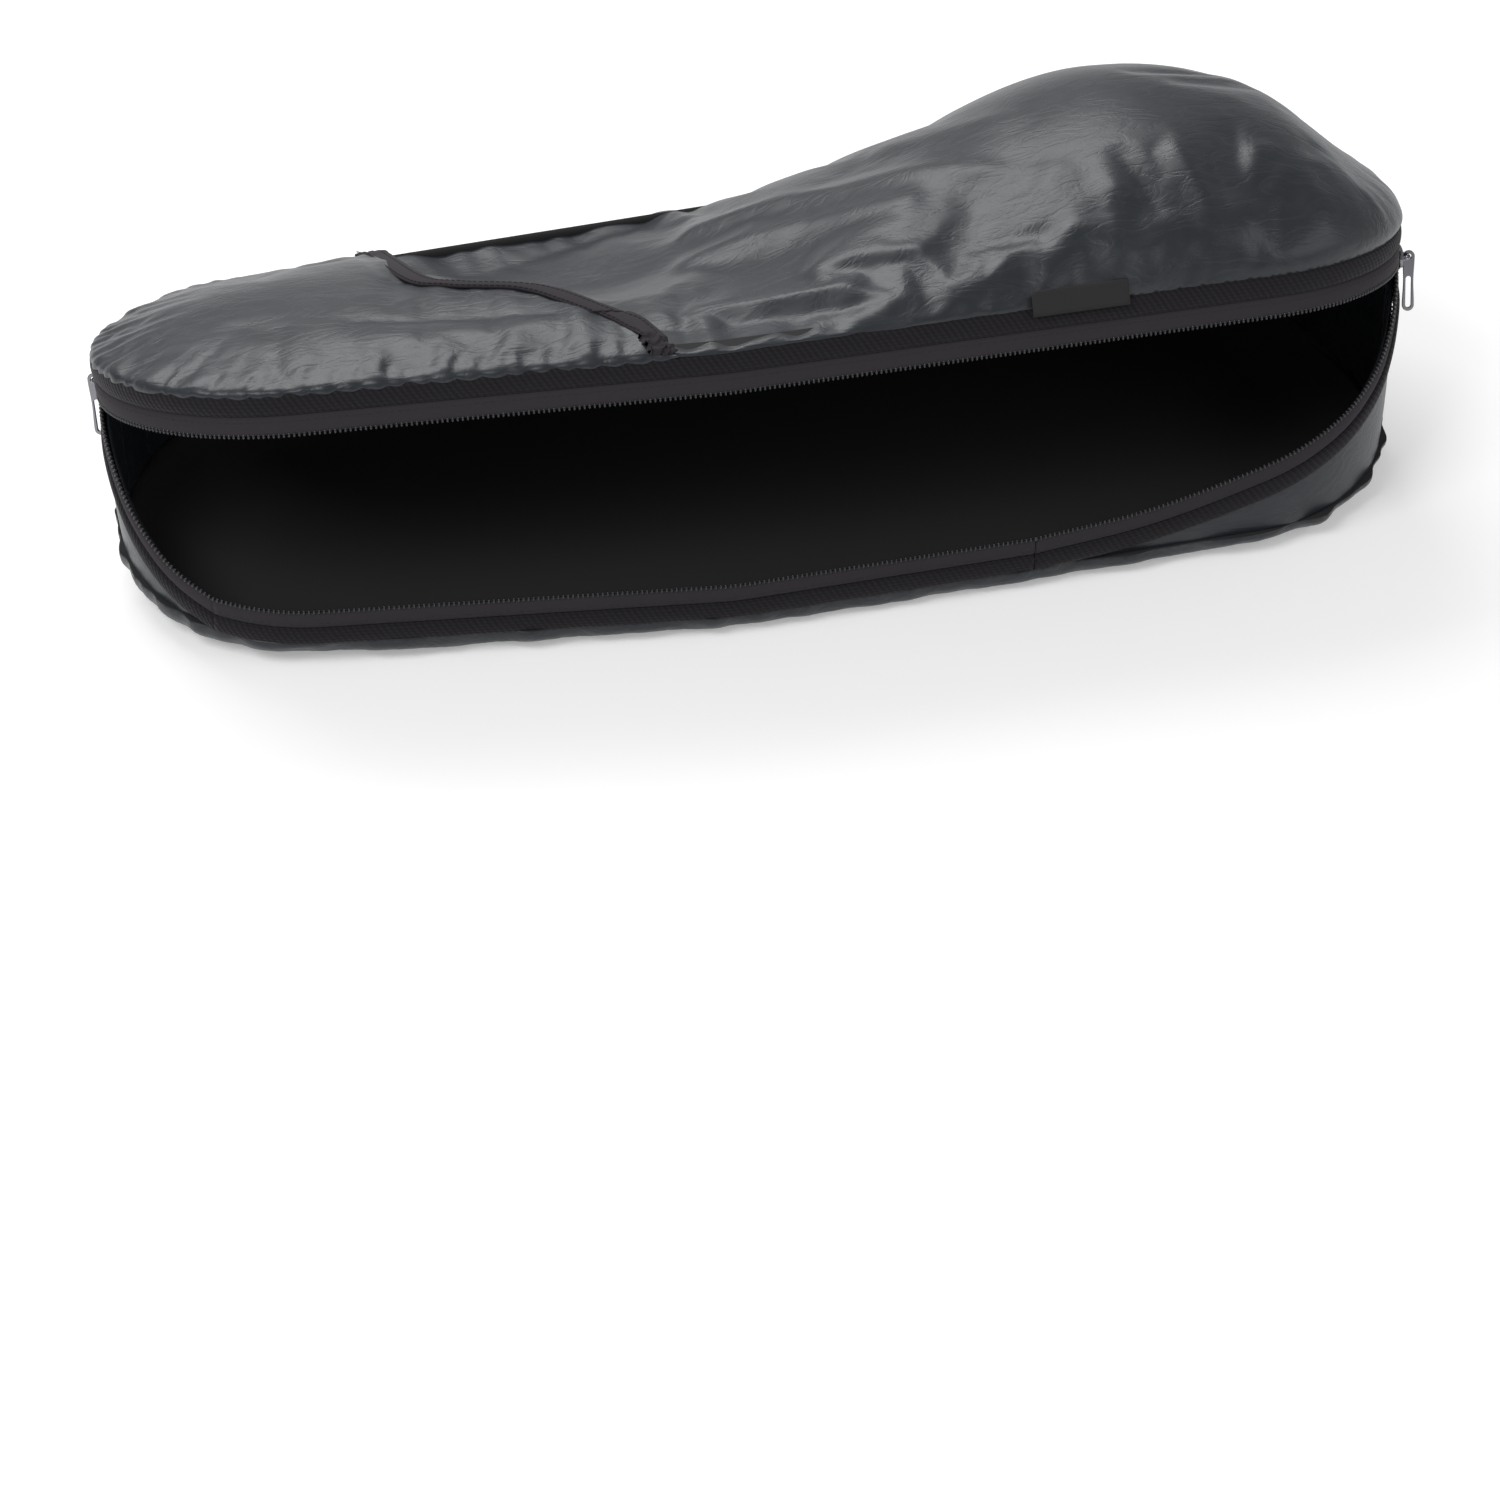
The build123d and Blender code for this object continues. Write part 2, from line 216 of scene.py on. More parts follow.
def rim_arc(corner, start, end, step):
    """Points and outward directions along one corner circle."""
    x, y, radius = CORNERS[corner]
    sweep = (end - start) % 360
    count = max(2, ceil(radians(sweep) * radius / step) + 1)
    angles = np.radians(np.linspace(start, start + sweep, count))
    out = np.stack([np.cos(angles), np.sin(angles)], 1)
    return np.array([x, y]) + radius * out, out


def rim_run(start, end, step=RIM_STEP):
    """Points and outward directions of the outline from one place counter-clockwise to another."""
    corner, angle = start
    points, outs = [], []
    while True:
        last = corner == end[0]
        leave = end[1] if last else leave_angle(corner)
        arc, out = rim_arc(corner, angle, leave, step)
        points.append(arc)
        outs.append(out)
        if last:
            return np.concatenate(points), np.concatenate(outs)
        following = (corner + 1) % len(CORNERS)
        x, y, radius = CORNERS[following]
        begin = arc[-1]
        finish = np.array([x, y]) + radius * out[-1]
        count = max(1, ceil(np.linalg.norm(finish - begin) / step))
        shares = np.linspace(0, 1, count + 1)[1:-1, None]
        points.append(begin + (finish - begin) * shares)
        outs.append(np.repeat(out[-1:], len(shares), 0))
        corner = following
        angle = leave


def whole_rim(step):
    """The whole outline, without the last point, which would repeat the first."""
    leave = leave_angle(FAR_LEFT)
    points, outs = rim_run((NEAR_LEFT, leave), (FAR_LEFT, leave), step)
    first = points[0]
    gap = first - points[-1]
    count = max(1, ceil(np.linalg.norm(gap) / step))
    shares = np.linspace(0, 1, count + 1)[1:-1, None]
    bridge = points[-1] + gap * shares
    bridge_outs = np.repeat(outs[-1:], len(bridge), 0)
    return np.concatenate([points, bridge]), np.concatenate([outs, bridge_outs])


def place_back(points):
    """Zip frame to the rest pose, for what stays with the back half."""
    x, y, z = np.asarray(points).reshape(-1, 3).T
    placed = np.stack([
        x,
        y * cos(TEETH_TILT) - z * sin(TEETH_TILT),
        TEETH_Z + y * sin(TEETH_TILT) + z * cos(TEETH_TILT),
    ], 1)
    return placed - MIDDLE


def place_front(points):
    """Zip frame to the rest pose, for what swings with the front half."""
    shut = place_back(points)
    pivot = place_back([(0, HINGE_Y, HINGE_Z)])[0]
    x, y, z = (shut - pivot).T
    swung = np.stack([
        x,
        y * cos(OPEN_ANGLE) + z * sin(OPEN_ANGLE),
        z * cos(OPEN_ANGLE) - y * sin(OPEN_ANGLE),
    ], 1)
    return swung + pivot


def smooth_table(x, xs, ys):
    """Smooth curve through a table of values."""
    slopes = np.gradient(ys, xs)
    x = np.clip(x, xs[0], xs[-1])
    i = np.clip(np.searchsorted(xs, x) - 1, 0, len(xs) - 2)
    gap = xs[i + 1] - xs[i]
    t = (x - xs[i]) / gap
    return (
        (1 + 2 * t) * (1 - t) ** 2 * ys[i]
        + t * (1 - t) ** 2 * gap * slopes[i]
        + t * t * (3 - 2 * t) * ys[i + 1]
        + t * t * (t - 1) * gap * slopes[i + 1]
    )


def ease(t):
    """Smooth step from 0 to 1."""
    t = np.clip(t, 0, 1)
    return t * t * (3 - 2 * t)


def crown(x, y, above):
    """Height of the padded half's outer face over the teeth, or its depth under them."""
    xs = STATIONS[:, 0]
    centre = smooth_table(x, xs, STATIONS[:, 1])
    half = smooth_table(x, xs, STATIONS[:, 2])
    rise = smooth_table(x, xs, STATIONS[:, 3 if above else 4])
    return rise * np.sqrt(np.clip(1 - ((y - centre) / half) ** 2, 0, 1))


RIM_POINTS, RIM_OUTS = whole_rim(1 * MM)


def from_rim(plan):
    """Nearest outline point, its outward direction and the distance inward, per plan point."""
    feet = np.empty(len(plan), int)
    for start in range(0, len(plan), 2000):
        chunk = plan[start:start + 2000]
        square = ((chunk[:, None] - RIM_POINTS[None]) ** 2).sum(2)
        feet[start:start + 2000] = square.argmin(1)
    foot = RIM_POINTS[feet]
    out = RIM_OUTS[feet]
    inset = -((plan - foot) * out).sum(1)
    return foot, out, inset


# ======================================================================================
# Meshes
# ======================================================================================
def new_object(name, points, faces, material, uvs=None, smooth=True):
    """Mesh object at the origin, with its place in its mesh."""
    mesh = bpy.data.meshes.new(name)
    mesh.from_pydata([tuple(p) for p in points], [], [tuple(int(i) for i in f) for f in faces])
    mesh.update()
    if uvs is not None:
        layer = mesh.uv_layers.new(name="UVMap")
        layer.data.foreach_set("uv", np.asarray(uvs, np.float32).ravel())
    if smooth:
        mesh.polygons.foreach_set("use_smooth", [True] * len(mesh.polygons))
    mesh.materials.append(material)
    piece = bpy.data.objects.new(name, mesh)
    bpy.context.scene.collection.objects.link(piece)
    return piece


def settle_normals(piece):
    """Makes all faces of a closed mesh point outward."""
    shape = bmesh.new()
    shape.from_mesh(piece.data)
    bmesh.ops.remove_doubles(shape, verts=shape.verts, dist=1e-6)
    bmesh.ops.recalc_face_normals(shape, faces=shape.faces)
    shape.to_mesh(piece.data)
    shape.free()
    return piece


def evaluated_mesh(piece):
    """The piece's mesh with its modifiers applied."""
    depsgraph = bpy.context.evaluated_depsgraph_get()
    return bpy.data.meshes.new_from_object(piece.evaluated_get(depsgraph))


def apply_modifiers(piece):
    """Replaces the piece's mesh by its evaluated one and drops the modifiers."""
    mesh = evaluated_mesh(piece)
    old = piece.data
    piece.modifiers.clear()
    piece.data = mesh
    bpy.data.meshes.remove(old)
    return piece


def mesh_points(piece):
    """Points of a mesh as an array."""
    flat = np.empty(len(piece.data.vertices) * 3, np.float32)
    piece.data.vertices.foreach_get("co", flat)
    return flat.reshape(-1, 3).astype(float)


def set_mesh_points(piece, points):
    """Moves the points of a mesh."""
    piece.data.vertices.foreach_set("co", np.asarray(points, np.float32).ravel())
    piece.data.update()


def mesh_normals(piece):
    """Outward directions at the points of a mesh."""
    flat = np.empty(len(piece.data.vertices) * 3, np.float32)
    piece.data.vertex_normals.foreach_get("vector", flat)
    return flat.reshape(-1, 3).astype(float)


def tube_faces(count, around, closed):
    """Quads of a tube of cross-sections, with end caps unless it closes on itself."""
    faces = []
    for i in range(count if closed else count - 1):
        j = (i + 1) % count
        for k in range(around):
            m = (k + 1) % around
            faces.append((i * around + k, i * around + m, j * around + m, j * around + k))
    if not closed:
        faces.append(tuple(range(around - 1, -1, -1)))
        faces.append(tuple((count - 1) * around + k for k in range(around)))
    return faces


def tube_uvs(sections, faces):
    """Length along the tube and distance round it, for each face corner, in metres."""
    count, around = sections.shape[:2]
    middle = sections.mean(1)
    steps = np.linalg.norm(np.diff(middle, axis=0, append=middle[:1]), axis=1)
    along = np.concatenate([[0], np.cumsum(steps)])
    round_steps = np.linalg.norm(np.diff(sections[0], axis=0, append=sections[0][:1]), axis=1)
    across = np.concatenate([[0], np.cumsum(round_steps)])
    uvs = []
    for face in faces:
        if len(face) != 4:
            uvs += [(along[i // around % count], across[i % around]) for i in face]
            continue
        i, k = divmod(face[0], around)
        uvs += [
            (along[i], across[k]), (along[i], across[k + 1]),
            (along[i + 1], across[k + 1]), (along[i + 1], across[k]),
        ]
    return np.array(uvs)


def tube(name, sections, material, closed=False):
    """Tube through an array of cross-sections (count, around, 3)."""
    sections = np.asarray(sections)
    count, around = sections.shape[:2]
    faces = tube_faces(count, around, closed)
    uvs = tube_uvs(sections, faces)
    piece = new_object(name, sections.reshape(-1, 3), faces, material, uvs)
    return turn_outward(piece)


def turn_outward(piece):
    """Flips a closed mesh whose faces point inward."""
    shape = bmesh.new()
    shape.from_mesh(piece.data)
    if shape.calc_volume(signed=True) < 0:
        bmesh.ops.reverse_faces(shape, faces=shape.faces)
    shape.to_mesh(piece.data)
    shape.free()
    return piece


def rim_sections(run, profile):
    """Cross-sections along the outline; profile is (outward, up) pairs in metres."""
    points, outs = run
    profile = np.asarray(profile)
    sections = np.empty((len(points), len(profile), 3))
    sections[:, :, :2] = points[:, None] + outs[:, None] * profile[None, :, :1]
    sections[:, :, 2] = profile[:, 1]
    return sections


def placed_sections(sections, place):
    """Cross-sections in the rest pose."""
    return place(sections.reshape(-1, 3)).reshape(sections.shape)


def strip_profile(low, high, outer, inner, bulge=0.0, steps=6):
    """Cross-section of a strip of cloth: a rounded outer face and a flat inner one."""
    t = np.linspace(0, 1, steps + 1)
    heights = low + (high - low) * t
    face = outer + bulge * np.sin(pi * t)
    edge = min(outer - inner, high - low) / 4
    front = np.stack([face, heights], 1)
    front[0, 0] -= edge
    front[-1, 0] -= edge
    back = np.stack([np.full(3, inner), np.linspace(high, low, 3)], 1)
    return np.concatenate([front, back])


# ======================================================================================
# Materials
# ======================================================================================
class Amount:
    """A number that varies over a surface; sums and products of it add Math nodes."""

    def __init__(self, finish, socket):
        self.finish = finish
        self.socket = socket

    def combine(self, operation, first, second=0.0):
        node = self.finish.node(
            "ShaderNodeMath", {"operation": operation}, {0: first, 1: second}
        )
        return Amount(self.finish, node.outputs[0])

    def __add__(self, other):
        return self.combine("ADD", self, other)

    __radd__ = __add__

    def __mul__(self, other):
        return self.combine("MULTIPLY", self, other)

    __rmul__ = __mul__

    def __sub__(self, other):
        return self.combine("SUBTRACT", self, other)

    def __rsub__(self, other):
        return self.combine("SUBTRACT", other, self)

    def top(self, other):
        """The larger of the two."""
        return self.combine("MAXIMUM", self, other)

    def sine(self):
        """Sine of the number."""
        return self.combine("SINE", self)

    def size(self):
        """The number without its sign."""
        return self.combine("ABSOLUTE", self)


class Finish:
    """One material, built from nodes on object coordinates or the piece's own UV map."""

    def __init__(self, name):
        self.material = bpy.data.materials.new(name)
        self.material.use_nodes = True
        self.tree = self.material.node_tree
        self.tree.nodes.clear()
        self.output = self.tree.nodes.new("ShaderNodeOutputMaterial")

    def node(self, kind, settings=None, values=None):
        """New node: its settings are set first, then its sockets get values or links."""
        node = self.tree.nodes.new(kind)
        for key, value in (settings or {}).items():
            setattr(node, key, value)
        for key, value in (values or {}).items():
            self.feed(node.inputs[key], value)
        return node

    def feed(self, socket, value):
        """Links a socket or sets its value."""
        if isinstance(value, Amount):
            value = value.socket
        if isinstance(value, bpy.types.NodeSocket):
            self.tree.links.new(value, socket)
        elif isinstance(value, (tuple, list)) and socket.type == "RGBA":
            socket.default_value = (*value[:3], 1.0)
        else:
            socket.default_value = value

    def place(self, source="Object", turn=(0, 0, 0), stretch=(1, 1, 1)):
        """Coordinates of the surface, turned and stretched."""
        coordinates = self.node("ShaderNodeTexCoord").outputs[source]
        mapping = self.node(
            "ShaderNodeMapping", {}, {"Vector": coordinates, "Rotation": turn, "Scale": stretch}
        )
        return mapping.outputs[0]

    def noise(self, place, scale, detail=3.0, rough=0.5, warp=0.0):
        """Soft noise from 0 to 1."""
        node = self.node(
            "ShaderNodeTexNoise", {},
            {"Vector": place, "Scale": scale, "Detail": detail, "Roughness": rough,
             "Distortion": warp},
        )
        return Amount(self, node.outputs["Fac"])

    def ramp(self, value, low, high):
        """Value mapped so that low becomes 0 and high becomes 1, and clamped."""
        node = self.node(
            "ShaderNodeMapRange", {"clamp": True},
            {"Value": value, "From Min": low, "From Max": high},
        )
        return Amount(self, node.outputs["Result"])

    def axes(self, place):
        """The three coordinates of a place."""
        node = self.node("ShaderNodeSeparateXYZ", {}, {0: place})
        return [Amount(self, socket) for socket in node.outputs]

    def mix(self, share, first, second):
        """Colour between two colours."""
        node = self.node(
            "ShaderNodeMix", {"data_type": "RGBA"}, {"Factor": share, 6: first, 7: second}
        )
        return node.outputs[2]

    def bump(self, height, distance, strength=1.0, below=None):
        """Normal of a surface with this height; distance is the height of 1, in metres."""
        values = {"Height": height, "Distance": distance, "Strength": strength}
        if below is not None:
            values["Normal"] = below
        return self.node("ShaderNodeBump", {}, values).outputs[0]

    def shade(self, **values):
        """Closes the material with a principled surface."""
        sockets = {key.replace("_", " ").title(): value for key, value in values.items()}
        renamed = {"Specular Level": "Specular IOR Level"}
        sockets = {renamed.get(key, key): value for key, value in sockets.items()}
        surface = self.node("ShaderNodeBsdfPrincipled", {}, sockets)
        self.tree.links.new(surface.outputs[0], self.output.inputs[0])
        return self.material


def weave(finish, place, threads):
    """Plain weave: over and under threads, from 0 to 1; threads is how many a metre."""
    x, y, _ = finish.axes(place)
    across = (x * (threads * pi)).sine().size()
    along = (y * (threads * pi)).sine().size()
    return across.top(along)


def nylon_finish(colours):
    """Thin shiny nylon with a fine weave, small creases and paler rubbed spots."""
    finish = Finish("shiny_nylon")
    place = finish.place()
    cloud = finish.noise(place, 14.0, 4.0, 0.55, 0.6)
    crease = finish.noise(finish.place(stretch=(1.0, 2.2, 2.2)), 42.0, 3.0, 0.55, 1.2)
    sharp = finish.ramp((crease - 0.5).size(), 0.0, 0.09)
    grain = finish.noise(place, 900.0, 2.0, 0.6)
    rubbed = finish.ramp(cloud, 0.45, 0.75) * 0.5 + (1 - sharp) * 0.25
    base = finish.mix(rubbed, tuple(colours.nylon), tuple(colours.nylon_worn))
    normal = finish.bump(cloud, 1.2 * MM, 0.25)
    normal = finish.bump(sharp, 0.25 * MM, 0.35, normal)
    normal = finish.bump(weave(finish, place, 900.0), 0.05 * MM, 0.25, normal)
    return finish.shade(
        base_color=base,
        roughness=finish.ramp(grain * 0.5 + cloud * 0.5, 0.2, 0.9) * 0.14 + 0.36,
        specular_level=0.42,
        coat_weight=0.06,
        coat_roughness=0.2,
        sheen_weight=0.04,
        sheen_roughness=0.45,
        sheen_tint=(0.75, 0.8, 0.9),
        normal=normal,
    )


def webbing_finish(colours):
    """Ribbed woven band: slanted ribs across the band and a fuzzy edge."""
    finish = Finish("woven_band")
    place = finish.place("UV")
    along, across, _ = finish.axes(place)
    ribs = ((along * 2400.0) + (across * 1500.0)).sine() * 0.5 + 0.5
    courses = (across * 4200.0).sine() * 0.5 + 0.5
    fuzz = finish.noise(finish.place(), 700.0, 3.0, 0.7)
    height = ribs * 0.6 + courses * 0.25 + fuzz * 0.35
    tint = finish.mix(
        finish.ramp(height, 0.5, 1.15), tuple(colours.webbing),
        tuple(3.2 * c for c in colours.webbing),
    )
    return finish.shade(
        base_color=tint,
        roughness=finish.ramp(fuzz, 0.3, 0.7) * 0.15 + 0.68,
        specular_level=0.2,
        sheen_weight=0.07,
        sheen_roughness=0.5,
        sheen_tint=(0.8, 0.75, 0.8),
        normal=finish.bump(height, 0.35 * MM, 0.8),
    )


def tape_finish(colours):
    """Close woven zip tape with a faint pile of lint."""
    finish = Finish("zip_tape")
    place = finish.place("UV")
    along, across, _ = finish.axes(place)
    chevron = ((across * 3600.0).sine() * 0.9 + along * 5200.0).sine() * 0.5 + 0.5
    lint = finish.noise(finish.place(), 1100.0, 3.0, 0.75)
    patch = finish.noise(finish.place(), 60.0, 2.0, 0.5)
    height = chevron * 0.35 + lint * 0.65
    tint = finish.mix(
        finish.ramp(height, 0.45, 0.95) * 0.7 + finish.ramp(patch, 0.4, 0.8) * 0.3,
        tuple(colours.tape), tuple(2.6 * c for c in colours.tape),
    )
    return finish.shade(
        base_color=tint,
        roughness=finish.ramp(lint, 0.3, 0.7) * 0.12 + 0.72,
        specular_level=0.18,
        sheen_weight=0.09,
        sheen_roughness=0.45,
        sheen_tint=(0.8, 0.72, 0.78),
        normal=finish.bump(height, 0.22 * MM, 0.7),
    )


def plush_finish(colours):
    """Black plush lining with tufts that lie in patches."""
    finish = Finish("plush_lining")
    place = finish.place()
    tufts = finish.noise(place, 420.0, 4.0, 0.75, 0.4)
    patches = finish.noise(place, 26.0, 3.0, 0.6, 0.8)
    height = tufts * 0.7 + patches * 0.5
    tint = finish.mix(
        finish.ramp(height, 0.45, 0.95), tuple(colours.plush), tuple(4.0 * c for c in colours.plush)
    )
    return finish.shade(
        base_color=tint,
        roughness=finish.ramp(tufts, 0.2, 0.8) * 0.1 + 0.88,
        specular_level=0.12,
        sheen_weight=0.08,
        sheen_roughness=0.6,
        sheen_tint=(0.35, 0.33, 0.38),
        normal=finish.bump(height, 1.1 * MM, 0.8),
    )


def coil_finish(colours):
    """Moulded nylon coil, a little shinier than the tape."""
    finish = Finish("zip_coil")
    grain = finish.noise(finish.place(), 1500.0, 2.0, 0.5)
    tint = finish.mix(grain, tuple(colours.coil), tuple(2.2 * c for c in colours.coil))
    return finish.shade(
        base_color=tint,
        roughness=grain * 0.15 + 0.34,
        specular_level=0.6,
        normal=finish.bump(grain, 0.05 * MM, 0.4),
    )


def metal_finish(colours):
    """Dark plated metal, brushed and paler where it is rubbed."""
    finish = Finish("dark_metal")
    place = finish.place()
    brushed = finish.noise(finish.place(stretch=(1.0, 1.0, 14.0)), 900.0, 2.0, 0.5)
    cloud = finish.noise(place, 260.0, 3.0, 0.6)
    tint = finish.mix(
        finish.ramp(cloud, 0.35, 0.7), tuple(0.6 * c for c in colours.metal), tuple(colours.metal)
    )
    return finish.shade(
        base_color=tint,
        metallic=1.0,
        roughness=finish.ramp(brushed * 0.6 + cloud * 0.4, 0.3, 0.7) * 0.18 + 0.24,
        normal=finish.bump(brushed, 0.03 * MM, 0.5),
    )


def label_finish(colours):
    """Blank satin label: fine cross threads."""
    finish = Finish("woven_label")
    along, across, _ = finish.axes(finish.place("UV"))
    threads = (across * 9000.0).sine() * 0.5 + 0.5
    slub = finish.noise(finish.place(), 800.0, 2.0, 0.6)
    height = threads * 0.5 + slub * 0.5
    tint = finish.mix(
        finish.ramp(height, 0.3, 0.8), tuple(colours.label), tuple(2.4 * c for c in colours.label)
    )
    return finish.shade(
        base_color=tint,
        roughness=slub * 0.2 + 0.42,
        specular_level=0.5,
        sheen_weight=0.06,
        normal=finish.bump(height, 0.12 * MM, 0.6),
    )


def make_finishes(colours):
    """Makes every material of the bag."""
    nylon_finish(colours)
    webbing_finish(colours)
    tape_finish(colours)
    plush_finish(colours)
    coil_finish(colours)
    metal_finish(colours)
    label_finish(colours)


MATERIAL_NAMES = {
    "nylon": "shiny_nylon",
    "webbing": "woven_band",
    "tape": "zip_tape",
    "plush": "plush_lining",
    "coil": "zip_coil",
    "metal": "dark_metal",
    "label": "woven_label",
}


def finish_of(kind):
    """The material of a kind."""
    return bpy.data.materials[MATERIAL_NAMES[kind]]


def settle(piece, kind, body, *nodes):
    """Puts a finished piece on its body and hides the frame's parts that it stands in for."""
    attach(piece, body)
    if nodes:
        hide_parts(*nodes)
    return piece


# ======================================================================================
# Padded panels
# ======================================================================================
def ring_plan(low, high, step, spacing):
    """Plan points in rings that follow the outline, from one inset to another."""
    rings = []
    count = max(1, round((high - low) / step))
    points, outs = whole_rim(spacing)
    for inset in np.linspace(low, high, count + 1):
        rings.append(points - outs * inset)
    return rings


def field_plan(inset, spacing):
    """Even plan points inside the outline."""
    low = RIM_POINTS.min(0)
    high = RIM_POINTS.max(0)
    rows = int((high[1] - low[1]) / (spacing * ROW_RATIO)) + 1
    points = []
    for row in range(rows):
        y = low[1] + row * spacing * ROW_RATIO
        shift = spacing / 2 * (row % 2)
        xs = np.arange(low[0] + shift, high[0], spacing)
        points.append(np.stack([xs, np.full(len(xs), y)], 1))
    points = np.concatenate(points)
    return points[from_rim(points)[2] > inset]


def triangulate(points, edges):
    """Triangles over the plan points inside the closed edges."""
    found = geometry.delaunay_2d_cdt([Vector(p) for p in points], edges, [], 1, 1e-7)
    plan = np.array([tuple(v) for v in found[0]])
    return plan, np.array([f for f in found[2] if len(f) == 3])


def panel_plan(sizes):
    """Plan points and triangles of a whole padded panel, with its apron."""
    apron = sizes.roll * APRON_SHARE
    rings = ring_plan(-apron, sizes.roll, sizes.field * 0.75, sizes.field)
    points = np.concatenate(rings + [field_plan(sizes.roll + sizes.field * 0.6, sizes.field)])
    count = len(rings[0])
    return triangulate(points, [(i, (i + 1) % count) for i in range(count)])


def on_panel(plan, sizes, above):
    """Places plan points on a padded half's outer face, in the zip frame."""
    foot, out, inset = from_rim(plan)
    apron = sizes.roll * APRON_SHARE
    turn = np.clip((inset + apron) / (sizes.roll + apron), 0, 1)
    rolled = sizes.roll * (1 - np.cos(turn * pi / 2)) - sizes.bulge * np.sin(turn * pi)
    drawn_in = np.where(turn < 1, rolled, inset)
    flat = np.where((turn < 1)[:, None], foot - out * drawn_in[:, None], plan)
    top = np.maximum(crown(flat[:, 0], flat[:, 1], above), sizes.seam + LEAST_PADDING)
    height = sizes.seam + (top - sizes.seam) * np.sin(turn * pi / 2)
    return np.column_stack([flat, height if above else -height])


def soft_bump(plan, x, y, radius_x, radius_y, angle=0.0):
    """A smooth hill of height 1 round a place of the plan."""
    a = radians(angle)
    dx = plan[:, 0] - x * MM
    dy = plan[:, 1] - y * MM
    along = (dx * cos(a) + dy * sin(a)) / (radius_x * MM)
    across = (dy * cos(a) - dx * sin(a)) / (radius_y * MM)
    return np.exp(-along ** 2 - across ** 2)


def fold(plan, x0, y0, x1, y1, width):
    """A smooth ridge of height 1 along a line of the plan, fading at its ends."""
    start = np.array([x0, y0]) * MM
    line = np.array([x1 - x0, y1 - y0]) * MM
    span = np.linalg.norm(line)
    along = ((plan - start) @ line) / span ** 2
    nearest = start + np.clip(along, 0, 1)[:, None] * line
    aside = np.linalg.norm(plan - nearest, axis=1) / (width * MM)
    fade = ease(along * 4 + 0.5) * ease((1 - along) * 4 + 0.5)
    return np.exp(-aside ** 2) * fade


# dents and swells of the front half: (x, y, radius x, radius y, turn, height) in mm
FRONT_SWELLS = [
    (170, 10, 90, 70, 0, 2.0),
    (60, 10, 40, 26, 20, -3.0),
    (10, -30, 46, 20, -12, -3.0),
    (-62, 4, 38, 26, 0, -8.0),
    (-100, 34, 40, 30, 0, -6.0),
    (-20, 60, 30, 22, 20, -3.0),
    (100, -60, 36, 18, 18, -3.0),
    (150, -100, 16, 14, 0, -2.5),
    (196, -104, 14, 14, 0, -2.5),
]
# folds of the front half: (x0, y0, x1, y1, width, height) in mm
FRONT_FOLDS = [
    (-30, -2, 20, -24, 8.8, 2.4),
    (20, -24, 66, -50, 7.5, 2.1),
    (-20, 34, 24, 6, 8.8, 2.1),
    (24, 6, 84, -34, 7.5, 2.1),
    (84, -34, 124, -72, 7.5, 1.5),
    (70, 30, 122, -16, 10, 1.7),
    (-39, -78, 28, -94, 5.6, 2.1),
    (-34, -92, 30, -106, 4.4, -1.8),
    (10, -66, 60, -84, 6.2, 1.7),
    (60, -84, 110, -98, 5, -1.7),
    (172, -119, 168, -66, 5.6, 2.1),
    (176, -118, 204, -72, 5.6, 2.1),
    (180, -116, 226, -76, 5.6, 1.8),
    (164, -119, 134, -82, 5.6, 2),
    (160, -120, 108, -98, 5, 1.7),
    (188, -100, 196, -62, 5, -1.7),
    (150, -98, 146, -62, 5, -1.7),
    (206, -96, 236, -60, 5, -1.5),
]
# swells of the pocket's cloth: (x, y, radius x, radius y, turn, height) in mm
POCKET_SWELLS = [
    (-200, -10, 50, 40, 0, 3.0),
    (-110, -40, 40, 40, 0, 2.0),
]


def gathers(plan, amount, reach, wave, seed):
    """Small puckers that run in from the seam."""
    foot, out, inset = from_rim(plan)
    angle = np.arctan2(foot[:, 1], foot[:, 0] * 0.45)
    random = np.random.default_rng(seed)
    total = np.zeros(len(plan))
    for share in (1.0, 1.7, 2.6):
        phase = random.uniform(0, 2 * pi)
        drift = random.uniform(0, 2 * pi)
        bend = 1 + 0.4 * np.sin(angle * 5 + drift)
        sway = 1.5 * np.sin(angle * 7 + drift)
        total += np.sin(angle * wave * share + phase + sway) * bend / share
    fade = np.exp(-np.clip(inset, 0, None) / reach)
    return total * amount * fade


def front_relief(plan):
    """Height of the front half's dents, swells, folds and gathers."""
    height = np.zeros(len(plan))
    for x, y, rx, ry, angle, amount in FRONT_SWELLS:
        height += amount * MM * soft_bump(plan, x, y, rx, ry, angle)
    for x0, y0, x1, y1, width, amount in FRONT_FOLDS:
        height += amount * MM * fold(plan, x0, y0, x1, y1, width)
    inset = from_rim(plan)[2]
    height *= ease(inset / (14 * MM))
    return height + gathers(plan, 0.6 * MM, 14 * MM, 46, 3) * ease(inset / (8 * MM))


